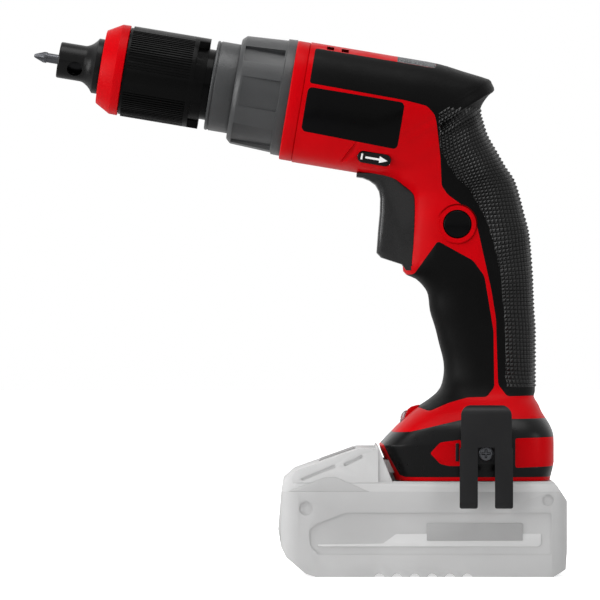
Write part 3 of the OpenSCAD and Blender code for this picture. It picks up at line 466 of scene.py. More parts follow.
def surface(name, columns, lines, pointOf):
    # a grid with each corner moved to its place
    bpy.ops.object.select_all(action="DESELECT")
    bpy.ops.mesh.primitive_grid_add(x_subdivisions=columns, y_subdivisions=lines, size=1)
    piece = bpy.context.object
    piece.name = name
    for vertex in piece.data.vertices:
        column = round((vertex.co.x + 0.5) * columns)
        line = round((vertex.co.y + 0.5) * lines)
        vertex.co = pointOf(column, line)
    return piece


def lofted(name, first, last, inset=0.0, steps=3, sides=56):
    lines = (last - first) * steps
    step = 2 * math.pi / sides
    piece = surface(name, sides, lines, lambda i, j: bodyPoint(first + j / steps, step * i, inset))
    edit(piece)
    bpy.ops.mesh.select_all(action="SELECT")
    bpy.ops.mesh.remove_doubles(threshold=0.000002)
    bpy.ops.mesh.select_all(action="DESELECT")
    bpy.ops.mesh.select_non_manifold()
    bpy.ops.mesh.fill_holes(sides=0)
    bpy.ops.mesh.select_all(action="SELECT")
    bpy.ops.mesh.normals_make_consistent(inside=False)
    return done(piece)


def trimmed(piece):
    # only the left half stays, closed along the middle
    edit(piece)
    bpy.ops.mesh.select_all(action="SELECT")
    bpy.ops.mesh.bisect(plane_co=(0, 0, 0), plane_no=(0, 1, 0), use_fill=True, clear_outer=True)
    return done(piece)


def joined(name, *pieces):
    pick(pieces[0])
    for piece in pieces[1:]:
        piece.select_set(True)
    bpy.ops.object.join()
    pieces[0].name = name
    return pieces[0]


# Side outlines of what is let into the body; leftSide is how far they are pulled across the tool
leftSide = -46, 6
bodyPlan = {
    "rear": {"radius": 1.2, "barrel": [
        (front + 2.3, 24), (front + 2.3, 7.5), (-9.5, 6.9), (0.9, 6), (5, 2.7), (6.7, -1.6), (10.8, -15.9),
        (13.6, -28.6), (17, -32.1), (25.5, -36.3), (31.4, -41), (35.3, -50.5), (43.9, -71.7)],
        "side": [(33.6, 117.4), (34.5, 87.3), (38.6, 82), (70, 82.5), (75, 150), (60, 240)],
        "back": [(30, 45), (2, 45), (2, 24)]},
    "front": {"radius": 1.2, "barrel": [
        (7.9, -70.6), (16.1, -53.8), (33.5, -59.9), (39.8, -66.1), (42.6, -74.2)],
        "side": [(32.5, 111.8), (32.8, 86.2), (29.2, 81.7), (20.5, 81.5), (11.5, 78.9), (3.1, 75.3),
                 (-3, 77.2), (-20, 93.7), (-20, 137)]},
    "plate": {"radius": 2.2, "barrel": [
        (front + 2, 5.8), (front + 46.7, 5.8), (front + 46.7, -15.8), (front + 2, -14.6)]},
    "insert": {"radius": 0.4, "barrel": [(-15.8, 24.05), (1.95, 24.05), (1.95, 34), (-15.8, 34)]},
}
band = {
    "outline": [(-24, 17.6), (-18.1, 16.6), (-14.9, 9.9), (-10.8, 2.7), (-8.2, 1.7), (70, 1.7), (70, 28.6),
                (17.6, 27.8), (-6, 22.3), (-14, 22), (-24, 23)],
    "window": [(41.8, 19.4), (70, 20.2), (70, 7), (41.8, 6)],
    "arrow": [(3.1, 12.6), (7.6, 17.5), (17, 18.8), (17, 6.8), (11.5, 6.8), (7.6, 7.8)],
}


def planPrism(name):
    part = bodyPlan[name]
    points = [onBarrel(*point) for point in part["barrel"]]
    points += part.get("side", [])
    points += [onBarrel(*point) for point in part.get("back", [])]
    return prism(name, points, *leftSide, part["radius"])


def bandPrism(name):
    # the black band of the foot, with a window at the rear and an arrow left open in it
    outlines = {key: [(x, footZ + z) for x, z in points] for key, points in band.items()}
    piece = prism(name, outlines["outline"], *leftSide)
    cut(piece, prism("window", outlines["window"], leftSide[0] - 1, leftSide[1] + 1, 1))
    return cut(piece, prism("arrow", outlines["arrow"], leftSide[0] - 1, leftSide[1] + 1, 0.8))


core = lofted("core", 0, bodyEnd)
skin = lofted("skin", 0, bodyEnd + 1, 1.5)
print("body lofted")
letIn = {key: planPrism(key) for key in bodyPlan}
letIn["band"] = bandPrism("band")
redHalf = copyOf(core, "redHalf")
for key, shape in letIn.items():
    cut(redHalf, cut(copyOf(shape, key + "Pocket"), skin, keep=True))
cut(redHalf, lofted("cavity", 2, bodyEnd + 1, 3.0, steps=2, sides=40))
bay = {"half": 10.4, "outline": [(-28, -28.9), (-1.6, -28.9), (17.4, -34.7), (17.4, -67), (-28, -67)]}
bayLine = [onBarrel(*point) for point in bay["outline"]]
cut(redHalf, prism("bay", bayLine, -bay["half"], bay["half"]))
trimmed(redHalf)
print("red half cut")

# The slot that the battery slides into: a narrow neck, and a wide head over it
railSlots = [
    ((-60, -21.9, footZ - 3), (47, 5, footZ + 4)),
    ((-60, -26.4, footZ + 3.2), (47, 5, footZ + 9.7)),
]


def slotted(piece):
    for lowCorner, highCorner in railSlots:
        cut(piece, block("rail", lowCorner, highCorner))
    return piece


def stadium(name, length, height, y0, y1, at):
    # a bar with round ends, across the barrel
    ends = []
    for sign in (1, -1):
        for k in range(17):
            angle = -math.pi / 2 + math.pi * k / 16
            ends.append((at[0] + sign * ((length - height) / 2 + math.cos(angle) * height / 2),
                         at[1] + sign * math.sin(angle) * height / 2))
    return place(prism(name, ends, y0, y1), barrel)


slotted(redHalf)
selectorHole = {"length": 15.6, "height": 5.4, "at": (-18.9, -21.5)}
hole = stadium("selectorHole", selectorHole["length"], selectorHole["height"], -50, 5, selectorHole["at"])
cut(redHalf, hole)
# the casing is drawn in behind a slanting crease, down towards the trigger
crease = {
    "top": (-28.4, -26.9, -15.4), "bottom": (-34.2, -17.6, -26.4), "turn": 11.0, "size": 30.0, "thick": 20.0,
}
creaseTop, creaseLow = (Vector(crease[end]) * mm for end in ("top", "bottom"))
down = (creaseLow - creaseTop).normalized()
across = down.cross(Vector((0, 1, 0))).normalized()
if across.x < 0:
    across = -across
across = Matrix.Rotation(math.radians(crease["turn"]), 3, down) @ across
outward = across.cross(down)
if outward.y > 0:
    outward = -outward
high = crease["size"] / 2
scoop = block("scoop", (0, 0, -high), (crease["size"], crease["thick"], high))
slant = Matrix((across, outward, down)).transposed().to_4x4()
place(scoop, Matrix.Translation((creaseTop + creaseLow) / 2) @ slant)
scoop = cleaned(scoop)
cut(redHalf, place(scoop, barrel))
vents = {
    "places": (front + 7.5, front + 14.3), "length": 3.3, "low": 24.3, "high": 25.9, "near": -24, "far": -7.5,
}
for x in vents["places"]:
    vent = block("vent", (x, vents["near"], vents["low"]), (x + vents["length"], vents["far"], vents["high"]))
    cut(redHalf, place(vent, barrel))
light = {
    "pocket": [(-12.5, 69.7), (-8.6, 74.5), (-5.2, 73.3), (-5.2, 68.7)],
    "lens": [(-10.2, 69.4), (-9.6, 73.4), (-7.9, 75.2), (-5.1, 75.6), (-4.8, 69.4), (-7.8, 68.2)],
    "brow": [(-9.4, 68.2), (-8.2, 71.6), (-6.9, 75.2), (-4.7, 77), (-1.2, 77.9), (-0.4, 75), (-3.6, 67.6)],
    "browGap": [(-12, 60), (-12, 80), (-4.9, 80), (-4.9, 60)],
    "lensHalf": 6.0, "browHalf": 7.6,
}
cut(redHalf, prism("ledCut", light["pocket"], -light["lensHalf"], 5))
print("red half opened")

# Pieces let into the body, each cut from the same loft
letInLook = {
    "rear": ("softGrip", "rearGrip", "rear_grip"),
    "front": ("softGrip", "frontGrip", "front_grip"),
    "plate": ("plateBlack", "sidePlate", "side_plate"),
    "band": ("blackShell", "footBand", "foot_band"),
}
# a screw's place (x, z) and how far its well is from the middle of the tool
screwPlaces = [(onBarrel(12, 12), 17), (onBarrel(40, -31.5), 13), ((27, 119), 11), ((42, 92), 11.5),
               ((50, footZ + 20), 28), ((-8, footZ + 20.5), 24)]
screwWell = {"radius": 2.9, "pin": 1.6}
lock = {"at": onBarrel(23.6, -44.7), "ring": 8.6, "gap": 0.7, "face": 18.35, "floor": 16.7, "hole": 6.6}
hook = {
    "at": (28.4, footZ + 12.6), "pad": 38.1, "padRadius": 6.9, "thread": 2.0, "ribs": (48.6, 50.6),
    "ribHalf": 4.6, "ribHeight": 0.9, "left": 16.9, "right": 39.9, "top": 78.25, "shoulder": 4.6,
}


def openedForScrews(piece):
    for at, depth in screwPlaces:
        cut(piece, drum("well", depth, 50, screwWell["radius"], across=True, at=at, sides=40))
    return piece


def asPair(piece, look, stem, node):
    # left piece as built, and its mirrored twin with the screw wells
    right = mirrored(piece, stem + "Right")
    openedForScrews(right)
    piece.name = stem + "Left"
    for half, sideName in ((piece, "left"), (right, "right")):
        soften(half, 0.3, 2, 40)
        smooth(half)
        finished(half, look, "tool", f"{node}_{sideName}")


pairs = {}
for key, (look, stem, node) in letInLook.items():
    piece = copyOf(core, stem)
    cut(piece, letIn[key], "INTERSECT", keep=True)
    cut(piece, skin, keep=True)
    trimmed(piece)
    pairs[key] = (piece, look, stem, node)
insert = copyOf(core, "topInsert")
insertLine = [onBarrel(*point) for point in bodyPlan["insert"]["barrel"]]
cut(insert, prism("insertPrism", insertLine, -46, 46, bodyPlan["insert"]["radius"]), "INTERSECT")
cut(insert, skin, keep=True)
print("let-in pieces cut")

# Hook seat on both sides, the channel in the foot bands, and the lock's raised ring on the left
bands = slotted(pairs["band"][0])
seat = drum("seat", -hook["pad"], -34, hook["padRadius"], across=True, at=hook["at"])
cut(redHalf, copyOf(seat, "seatGap"))
cut(bands, seat, "UNION")
ribLeft = hook["at"][0] - hook["ribHalf"]
ribRight = hook["at"][0] + hook["ribHalf"]
for z in hook["ribs"]:
    cut(bands, block("seatRib", (ribLeft, -38, z), (ribRight, -35, z + hook["ribHeight"])), "UNION")
for piece in (bands, redHalf):
    cut(piece, drum("seatThread", -40, -26, hook["thread"], across=True, at=hook["at"], sides=32))
for number, (at, depth) in enumerate(screwPlaces):
    if number != 4:
        cut(redHalf, drum("pin", -9, 6, screwWell["pin"], across=True, at=at, sides=24))

rightHalf = mirrored(redHalf, "shellRight")
openedForScrews(rightHalf)
rearPiece = pairs["rear"][0]
outer = lock["ring"] + lock["gap"]
groove = drum("grooveOuter", -50, -lock["floor"], outer, across=True, at=lock["at"], sides=72)
cut(groove, drum("grooveInner", -51, -16, lock["ring"], across=True, at=lock["at"], sides=72))
cut(redHalf, groove)
lockRing = drum("lockRing", -lock["face"], -14, lock["ring"], across=True, at=lock["at"], sides=72)
cut(redHalf, lockRing, "UNION")
cut(redHalf, drum("lockHole", -40, -12, lock["hole"], across=True, at=lock["at"], sides=72))
redHalf.name = "shellLeft"
for half, sideName in ((redHalf, "left"), (rightHalf, "right")):
    soften(half, 0.35, 3, 40)
    smooth(half)
    finished(half, "redShell", "tool", "housing_" + sideName)
print("red shells finished")

for key, (piece, look, stem, node) in pairs.items():
    if key != "rear":
        asPair(piece, look, stem, node)
rearRight = mirrored(rearPiece, "rearGripRight")
openedForScrews(rearRight)
cut(rearPiece, drum("ringHole", -40, 0, outer, across=True, at=lock["at"], sides=72))
rearPiece.name = "rearGripLeft"
for half, sideName in ((rearPiece, "left"), (rearRight, "right")):
    soften(half, 0.3, 2, 40)
    smooth(half)
    finished(half, "softGrip", "tool", "rear_grip_" + sideName)
soften(insert, 0.25, 2, 40)
smooth(insert)
finished(insert, "greyInsert", "tool", "top_insert")
for spare in (core, skin, *letIn.values()):
    bpy.data.objects.remove(spare)
print("let-in pieces finished")

# Knurl: rows of small pyramids wrapped round the back of the grip, up to a line measured in the side view
knurl = {
    "pitch": 1.85, "height": 0.72, "sink": 0.1, "firstRow": 8.6, "lastRow": 31.2, "columns": 25, "top": 213.4,
    "edge": [(6.4, 214), (7.4, 195), (13.8, 183), (21.2, 176.2), (29.9, 159.6), (35, 140.3), (37.3, 116.4),
             (37.7, 92), (38.6, 82)],
}


def knurlEdge(z):
    # how far forward the knurl reaches at a height
    line = knurl["edge"]
    for (x0, z0), (x1, z1) in zip(line, line[1:]):
        if z1 <= z <= z0:
            return x0 + (x1 - x0) * (z0 - z) / (z0 - z1)
    return line[0][0] if z > line[0][1] else line[-1][0]


def knurlField(name):
    steps = []
    t = knurl["firstRow"]
    while t < knurl["lastRow"]:
        steps.append(t)
        rise = (bodyPoint(t + 0.05, 0.6) - bodyPoint(t, 0.6)).length / 0.05
        t += knurl["pitch"] * mm / max(rise, 0.5 * mm)
    count = knurl["columns"]
    table = []
    for t in steps:
        # even steps along the section, so that the pyramids stay square
        fine = [bodyPoint(t, 2.3 * (k / 100 - 1), knurl["sink"]) for k in range(201)]
        run = [0.0]
        for a, b in zip(fine, fine[1:]):
            run.append(run[-1] + (b - a).length)
        inField = [k for k in range(201) if fine[k].x / mm >= knurlEdge(fine[k].z / mm)]
        row = []
        for i in range(2 * count + 1):
            want = run[100] + (i - count) * knurl["pitch"] * mm
            want = max(run[inField[0]], min(run[inField[-1]], want))
            k = next((k for k in range(1, 201) if run[k] >= want), 200)
            part = (want - run[k - 1]) / max(run[k] - run[k - 1], 1e-9)
            row.append(fine[k - 1].lerp(fine[k], max(0, min(1, part))))
        table.append(row)
    field = surface(name, 2 * count, len(steps) - 1, lambda i, j: table[j][i])
    mesh = edit(field, "FACE")
    for face in mesh.faces:
        tooHigh = face.calc_center_median().z > knurl["top"] * mm
        face.select_set(tooHigh or face.calc_area() < 0.5e-6)
    bmesh.update_edit_mesh(field.data)
    bpy.ops.mesh.delete(type="FACE")
    mesh = edit(field, "FACE")
    bpy.ops.mesh.select_all(action="SELECT")
    bpy.ops.mesh.normals_make_consistent(inside=False)
    if max(mesh.faces, key=lambda face: face.calc_center_median().x).normal.x < 0:
        bpy.ops.mesh.flip_normals()
    bpy.ops.mesh.poke(offset=knurl["height"] * mm)
    return done(field)


field = knurlField("gripKnurl")
finished(field, "knurlRubber", "tool")
print("knurl made,", len(field.data.polygons), "faces")

# Selector, with a bar and an arrow let in as white marks
refined("selector", "directionSelector", "blackShell", 0.3)
marks = {
    "face": -24.2, "proud": 0.5, "sink": 0.05, "barFrom": (-25.1, -22.9), "barTo": (-24.2, -20.1),
    "arrow": [(-23, -21.1), (-16.6, -21.1), (-16.6, -20), (-12.6, -21.7), (-16.6, -23.2), (-16.6, -22.1),
              (-23, -22.1)],
}
markLow = marks["face"] - marks["sink"]
markHigh = marks["face"] + marks["proud"]
bar = block("selectorBar", (marks["barFrom"][0], markLow, marks["barFrom"][1]),
            (marks["barTo"][0], markHigh, marks["barTo"][1]))
arrow = prism("selectorArrow", marks["arrow"], markLow, markHigh)
whiteMarks = joined("selectorMarks", place(bar, barrel), place(arrow, barrel))
soften(whiteMarks, 0.1, 2)
finished(whiteMarks, "whiteMark", "selector")

# Nose and gearbox, turned on the barrel line: places along it, from the red band forward
nose = {"band": -62.1, "case": -87.5, "ring": -98.4, "cap": -138.9, "capFront": -149.5, "tip": -169.5}
xBand, xCase, xRing, xCap, xCapFront, xNose = nose.values()


def arcCutter(name, low, high, x0, x1, r0, r1):
    # part of a ring between two angles, measured up from level on the near side
    piece = turned(name, [(x0, r0), (x1, r0), (x1, r1), (x0, r1)], 120)
    edit(piece)
    for angle, sign in ((low, 1), (high, -1)):
        turn = math.radians(angle)
        bpy.ops.mesh.select_all(action="SELECT")
        bpy.ops.mesh.bisect(plane_co=(0, 0, 0), plane_no=(0, sign * math.sin(turn), sign * math.cos(turn)),
                            use_fill=True, clear_inner=True)
    bpy.ops.mesh.select_all(action="SELECT")
    bpy.ops.mesh.normals_make_consistent(inside=False)
    return done(piece)


casing = turned("gearboxCasing", [
    (xCase, 8), (xCase, 23), (xCase + 0.5, 23.6), (xCase + 1.9, 24.9), (xCase + 2.5, 25.1), (-66.5, 26.1),
    (-66.2, 26.8), (xBand, 27), (xBand, 21), (xCase + 1.8, 21), (xCase + 1.8, 8)], 144)
# a pocket's angles, its two places along the barrel, and its depth
pockets = [
    (31, 53, -85.3, -66.9, 1.7),
    (-18, 13.5, -84, -66.9, 0.6),
    (-76, -39, -85.3, -66.9, 1.5),
]
for low, high, x0, x1, depth in pockets:
    pocket = arcCutter("recess", low, high, x0, x1, 25.6 - depth, 32)
    cut(casing, mirrored(pocket, "recessRight"))
    cut(casing, pocket)
soften(casing, 0.35, 3, 25)
smooth(place(casing, barrel), 30)
finished(casing, "gearCasting", "tool", "gearbox_housing")

# a turned piece's name, look, body, edge and profile
turnedPieces = {
    "nose_ring": ("noseRing", "gearCasting", "tool", 0.2, [
        (xRing, 16.3), (xRing, 20.2), (xRing + 0.4, 20.7), (xRing + 1.3, 20.7), (xRing + 1.4, 20.3),
        (xRing + 1.8, 20.3), (xRing + 1.9, 20.7), (xCase, 20.7), (xCase, 16.3)]),
    "front_cap": ("frontCap", "redShell", "depth_stop", 0.3, [
        (xCapFront, 10), (xCapFront, 16.9), (xCap - 3.8, 20.8), (xCap, 20.9), (xCap, 17), (xCap + 17, 17),
        (xCap + 17, 13.6), (xCap - 1.5, 13.6), (xCap - 1.5, 10)]),
    "nosepiece": ("nosePiece", "blackShell", "depth_stop", 0.25, [
        (xNose, 5.6), (xNose, 7.9), (xNose + 0.5, 8.3), (xNose + 11.4, 8.3), (xNose + 12.4, 8.5),
        (xNose + 13.6, 9.1), (xNose + 14.9, 10), (xNose + 16.1, 11.2), (xNose + 17.2, 12.7),
        (xCapFront - 0.01, 12.7), (xCapFront - 0.01, 10), (xCap - 1.5, 10), (xCap - 1.5, 6.4),
        (xNose + 1.8, 6.4), (xNose + 1.8, 5.6)]),
}
noseHole = {"radius": 3.5, "back": 8.2, "turn": 25}
for node, (name, look, body, edge, profile) in turnedPieces.items():
    piece = turned(name, profile, 128)
    if node == "nosepiece":
        at = xNose + noseHole["back"], 0
        hole = drum("noseHole", -30, 30, noseHole["radius"], across=True, at=at, sides=48)
        hole.data.transform(Matrix.Rotation(math.radians(noseHole["turn"]), 4, "X"))
        cut(piece, hole)
    soften(piece, edge, 3, 24)
    smooth(place(piece, barrel), 30)
    finished(piece, look, body, node)
print("turned pieces finished")

# Trigger: its own outline with a rounded front, and the plunger behind it
triggerShape = {
    "half": 9.9, "rounding": 2.9, "plunger": 2.5, "plungerFrom": 6, "plungerTo": 20.4, "plungerDrop": 48,
    "line": [(-30.1, 184.4), (-30.1, 182.6), (-27.2, 182.2), (-24.2, 181), (-21.4, 178.9), (-19.7, 176),
             (-19.2, 172.6), (-19.4, 166), (-20.1, 158.7), (-20.9, 147.8), (-18.8, 145.5), (-9.2, 142.4),
             (-7.4, 139.6), (-4.6, 139.6), (-2.6, 160), (-1.6, 176), (-9, 184.6)],
}
half = triggerShape["half"]
trigger = prism("triggerPaddle", triggerShape["line"], -half, half)
mesh = edit(trigger, "EDGE")
for rim in mesh.edges:
    a, b = (vertex.co / mm for vertex in rim.verts)
    onFront = max(a.x, b.x) < -17.5 and 144 < min(a.z, b.z) and max(a.z, b.z) < 181.5
    rim.select_set(onFront and abs(a.y + b.y) > 2 * half - 0.8)
bmesh.update_edit_mesh(trigger.data)
bpy.ops.mesh.bevel(offset=triggerShape["rounding"] * mm, segments=7, affect="EDGES")
done(trigger)
soften(trigger, 0.3, 2, 35)
plunger = drum("plunger", triggerShape["plungerFrom"], triggerShape["plungerTo"], triggerShape["plunger"])
place(plunger, Matrix.Translation((0, 0, -triggerShape["plungerDrop"] * mm)))
cut(trigger, place(plunger, barrel), "UNION")
smooth(trigger, 40)
finished(trigger, "triggerBlack", "trigger", "trigger")

# Light in the foot, under a red brow, and the bar beside the hook's plate
led = prism("ledLens", light["lens"], -light["lensHalf"], light["lensHalf"], 0.5)
soften(led, 0.5, 3, 40)
finished(smooth(led), "clearLens", "tool", "led_lens")
brow = prism("ledBrow", light["brow"], -light["browHalf"], light["browHalf"], 0.4)
gap = light["lensHalf"] + 0.1
cut(brow, prism("browGap", light["browGap"], -gap, gap))
soften(brow, 0.4, 3, 40)
finished(smooth(brow), "redShell", "tool")
clip = {"low": (14.6, -38.6, 52.6), "high": (16.1, -36.4, 60.9)}
clipBar = block("hookClip", clip["low"], clip["high"])
soften(clipBar, 0.3, 2, 40)
finished(smooth(clipBar), "hookSteel", "tool")
print("light and clip finished")

# Belt hook: the bent strip, cut to a plate with rounded shoulders
hookPiece = cleaned(copyOf(nodes["belt_hook"], "beltHook"))
left, right, ledge = hook["left"], hook["right"], 60
shoulders = prism("shoulders", [
    (left - 2.9, 25), (left - 2.9, ledge), (left, ledge), (left, hook["top"]), (right, hook["top"]),
    (right, ledge), (right + 2.1, ledge), (right + 2.1, 25)], -60, 0)
mesh = edit(shoulders, "EDGE")
for rim in mesh.edges:
    a, b = (vertex.co / mm for vertex in rim.verts)
    rim.select_set(min(a.z, b.z) > 77 and abs(a.y - b.y) > 10)
bmesh.update_edit_mesh(shoulders.data)
bpy.ops.mesh.bevel(offset=hook["shoulder"] * mm, segments=8, affect="EDGES")
done(shoulders)
shoulders = cleaned(shoulders)
cut(hookPiece, shoulders, "INTERSECT")
soften(hookPiece, 0.3, 2, 40)
smooth(hookPiece)
finished(hookPiece, "hookSteel", "tool", "belt_hook")

# Every other node: its own shape with moulded or machined edges
others = {
    "motor_flange": ("motorBand", "redShell", 0.6),
    # the guide sleeve is painted black as painted shade, so that the collar's windows read dark
    "guide_sleeve": ("guideSleeve", "plateBlack", 0.15),
    "depth_collar": ("depthCollar", "collarBlack", 0.12),
    "screwdriver_bit": ("phillipsBit", "darkSteel", 0.08),
    "lock_button": ("lockButton", "plateBlack", 0.5),
    "hook_screw": ("hookScrew", "darkSteel", 0.25),
    "release_button": ("releaseButton", "batteryDark", 0.5),
}
for node, (name, look, width) in others.items():
    refined(node, name, look, width)
print("remaining outer pieces finished")

# Battery: both cases with their steps, recesses and ribs
pack = {
    "half": 38.0, "recess": 0.7, "slot": 0.8, "ribs": 6, "ribPitch": 8.0, "ribRadius": 2.4,
    "flap": [(-61.4, 38.8), (-59.6, 39.9), (-44.6, 45.3), (-40, 45.5), (-24.4, 38.8)],
    "label": [(-52, 21.7), (-48.8, 24.2), (-35.6, 29.3), (58.3, 29.3), (58.3, 10.1), (-47.8, 10.1),
              (-51.6, 14.3)],
    "stripe": [(-48, 14.9), (-18.3, 15.3), (-12.4, 19.6), (53.5, 19.8), (53.5, 15), (52.4, 13.9),
               (-48, 13.9)],
    "badge": [(1.5, 16.6), (1.5, 24.5), (45.1, 24.5), (45.1, 16.6)],
    "slots": [[(-36.5, 51.7), (-28, 55.7), (-27.4, 54.2), (-35.6, 50.2)],
              [(-56, 44.9), (-40.5, 51.3), (-40, 49.7), (-55, 43.7)]],
    "line": [(-70, 42.6), (-70, 43), (70, 43), (70, 42.6)],
    "dimples": [((-53.4, 31.3), 3.2), ((56.6, 35), 2.6)],
    "ramp": [(-21.4, 43.3), (-14, 43.3), (-18, 53.1), (-20.3, 59.1), (-21.4, 59.6)],
}


def onBothSides(piece, way, name, points, y0, y1, radius=0.0):
    near = prism(name, points, y0, y1, radius)
    cut(piece, mirrored(near, name + "Right"), way)
    return cut(piece, near, way)


lower = cleaned(copyOf(nodes["battery_lower_case"], "batteryLower"))
upper = cleaned(copyOf(nodes["battery_upper_case"], "batteryUpper"))
flaps = copyOf(upper, "flaps")
keepFlaps = prism("keepFlaps", pack["flap"], -40, -36.6)
cut(keepFlaps, mirrored(keepFlaps, "keepRight"), "UNION")
cut(flaps, keepFlaps, "INTERSECT", keep=True)
cut(upper, keepFlaps)
labelFloor = pack["recess"] - pack["half"]
onBothSides(lower, "DIFFERENCE", "labelRecess", pack["label"], -40, labelFloor, 1.4)
for at, radius in pack["dimples"]:
    for sign in (1, -1):
        ends = sorted((sign * 40, sign * (pack["half"] - pack["slot"])))
        cut(lower, drum("dimple", *ends, radius, across=True, at=at, sides=48))
for k in range(pack["ribs"]):
    x = (k - (pack["ribs"] - 1) / 2) * pack["ribPitch"]
    cut(lower, drum("rib", -45, 45, pack["ribRadius"], across=True, at=(x, -0.9), sides=32))
for number, line in enumerate(pack["slots"]):
    onBothSides(upper, "DIFFERENCE", f"slot{number}", line, -40, pack["slot"] - pack["half"], 0.5)
onBothSides(upper, "DIFFERENCE", "topLine", pack["line"], -40, 0.3 - pack["half"])
cases = [(lower, "batteryShell", "battery_lower_case"), (upper, "batteryPale", "battery_upper_case")]
for piece, look, replaced in cases:
    soften(piece, 0.45, 3, 38)
    finished(smooth(piece), look, "battery", replaced)
soften(flaps, 0.35, 2, 38)
finished(smooth(flaps), "batteryShell", "battery")
flaps.name = "batteryFlaps"
for name, points, look, proud in (("labelStripe", pack["stripe"], "batteryPale", 0.3),
                                  ("labelBadge", pack["badge"], "batteryDark", 0.55)):
    near = prism(name, points, labelFloor - proud, labelFloor + 0.2, 0.5)
    soften(near, 0.12, 2, 40)
    finished(smooth(mirrored(near, name + "Right")), look, "battery")
    near.name = name + "Left"
    finished(smooth(near), look, "battery")
# the ramp of the case that the foot's slanted front lies against
ramp = prism("batteryRamp", pack["ramp"], 1 - pack["half"], pack["half"] - 1)
soften(ramp, 0.3, 2, 38)
finished(smooth(ramp), "batteryPale", "battery")
print("battery finished")

inside = {
    # the bit holder is painted near black as painted shade inside the nose hole
    "shadeBlackSteel": ["bit_holder"],
    "brightSteel": [
        "motor_bracket", "spindle_bearing", "ring_gear", "front_motor_bearing", "rear_motor_bearing",
        "rotor_shaft", "rotor_core", "sun_gear", "planet_carrier", "planet_gear_1", "planet_gear_2",
        "planet_gear_3", "clutch_spring", "spindle", "holder_magnet", "trigger_spring", "release_spring",
        "housing_screws", "battery_screws", "battery_contacts", "stator_core"],
    "copperWire": ["stator_windings"],
    "boardGreen": ["controller_board", "led_board", "battery_board"],
    "blackShell": ["switch_module", "terminal_block", "fan", "cell_frame"],
    "cellWrap": ["battery_cells"],
}
for look, members in inside.items():
    for node in members:
        paint(nodes[node], look)
print("inner nodes painted")

# Camera, floor and light
photo = {"lens": 391.0, "sensor": 36.0, "at": (-0.0561, -3.0, 0.126)}
camera = bpy.data.objects.new("photoCamera", bpy.data.cameras.new("photoCamera"))
bpy.context.scene.collection.objects.link(camera)
camera.location = photo["at"]
camera.rotation_euler = (math.pi / 2, 0, 0)
camera.data.lens = photo["lens"]
camera.data.sensor_width = photo["sensor"]
camera.data.clip_end = 50
bpy.context.scene.camera = camera
bpy.context.scene.view_settings.view_transform = "Standard"

# The floor glows for the camera alone, and more with distance, so that it keeps the shadow and loses its edge
studio = {
    "size": 12, "floor": 0.93, "near": 0.12, "far": 0.5, "glowNear": 0.66, "glowFar": 1.0, "ambient": 0.22,
}
bpy.ops.object.select_all(action="DESELECT")
bpy.ops.mesh.primitive_plane_add(size=studio["size"], location=(0, 0, 0))
floor = bpy.context.object
floor.name = "studioFloor"
floorMaterial, floorTree, floorShader, floorPlace = newMaterial("studioFloor")
floorShader.inputs["Base Color"].default_value = (*[studio["floor"]] * 3, 1)
floorShader.inputs["Emission Color"].default_value = (1, 1, 1, 1)
seen = floorTree.nodes.new("ShaderNodeLightPath")
glow = floorTree.nodes.new("ShaderNodeMath")
glow.operation = "MULTIPLY"
away = floorTree.nodes.new("ShaderNodeVectorMath")
away.operation = "LENGTH"
floorTree.links.new(floorPlace.outputs["Object"], away.inputs[0])
fade = floorTree.nodes.new("ShaderNodeMapRange")
fade.inputs["From Min"].default_value = studio["near"]
fade.inputs["From Max"].default_value = studio["far"]
fade.inputs["To Min"].default_value = studio["glowNear"]
fade.inputs["To Max"].default_value = studio["glowFar"]
floorTree.links.new(away.outputs["Value"], fade.inputs["Value"])
floorTree.links.new(fade.outputs["Result"], glow.inputs[1])
floorTree.links.new(seen.outputs["Is Camera Ray"], glow.inputs[0])
floorTree.links.new(glow.outputs["Value"], floorShader.inputs["Emission Strength"])
cloud = noiseOf(floorTree, floorPlace.outputs["Object"], 3, 2)
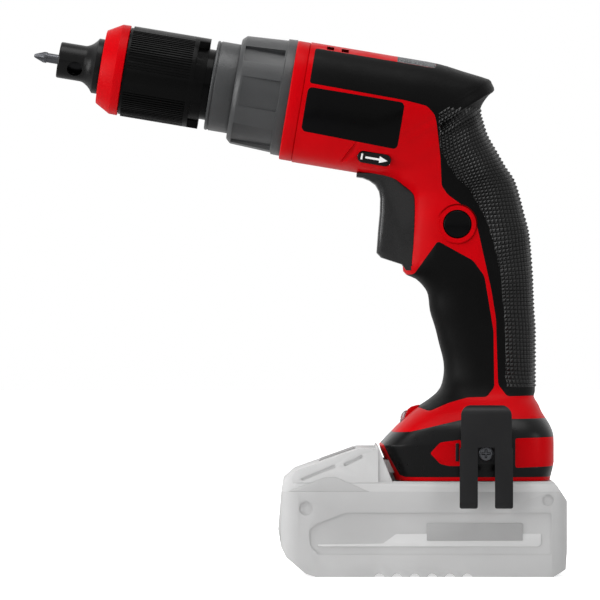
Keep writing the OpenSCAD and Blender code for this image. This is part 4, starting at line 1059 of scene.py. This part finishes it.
floorTree.links.new(ranged(floorTree, cloud, 0.7, 0.75), floorShader.inputs["Roughness"])
floor.data.materials.append(floorMaterial)

# a lamp's place, its size and its power
lamps = {
    "topLight": ((-0.1, -0.3, 1.4), (1.2, 0.7), 11),
    "frontLight": ((-1.35, -1.3, 0.8), (0.5, 1.2), 9),
    "noseLight": ((-1.5, -0.4, 0.35), (0.5, 0.9), 12),
    "rearLight": ((1.3, -0.9, 0.6), (0.4, 1.2), 6),
}
lampTarget = Vector((0, 0, 0.12))
for name, (location, size, power) in lamps.items():
    lamp = bpy.data.lights.new(name, "AREA")
    lamp.shape = "RECTANGLE"
    lamp.size, lamp.size_y = size
    lamp.energy = power
    holder = bpy.data.objects.new(name, lamp)
    bpy.context.scene.collection.objects.link(holder)
    holder.location = location
    holder.rotation_euler = (lampTarget - Vector(location)).to_track_quat("-Z", "Y").to_euler()

world = bpy.data.worlds.new("studio")
bpy.context.scene.world = world
world.use_nodes = True
tree = world.node_tree
tree.nodes.clear()
output = tree.nodes.new("ShaderNodeOutputWorld")
ambient = tree.nodes.new("ShaderNodeBackground")
ambient.inputs["Color"].default_value = (1, 1, 1, 1)
ambient.inputs["Strength"].default_value = studio["ambient"]
white = tree.nodes.new("ShaderNodeBackground")
white.inputs["Color"].default_value = (1, 1, 1, 1)
white.inputs["Strength"].default_value = 1.0
path = tree.nodes.new("ShaderNodeLightPath")
seenWhite = path.outputs["Is Camera Ray"]
for ray in ("Is Glossy Ray", "Is Transmission Ray"):
    larger = tree.nodes.new("ShaderNodeMath")
    larger.operation = "MAXIMUM"
    tree.links.new(seenWhite, larger.inputs[0])
    tree.links.new(path.outputs[ray], larger.inputs[1])
    seenWhite = larger.outputs["Value"]
mix = tree.nodes.new("ShaderNodeMixShader")
tree.links.new(seenWhite, mix.inputs["Fac"])
tree.links.new(ambient.outputs["Background"], mix.inputs[1])
tree.links.new(white.outputs["Background"], mix.inputs[2])
tree.links.new(mix.outputs["Shader"], output.inputs["Surface"])
print("camera and light set")

bpy.context.view_layer.update()
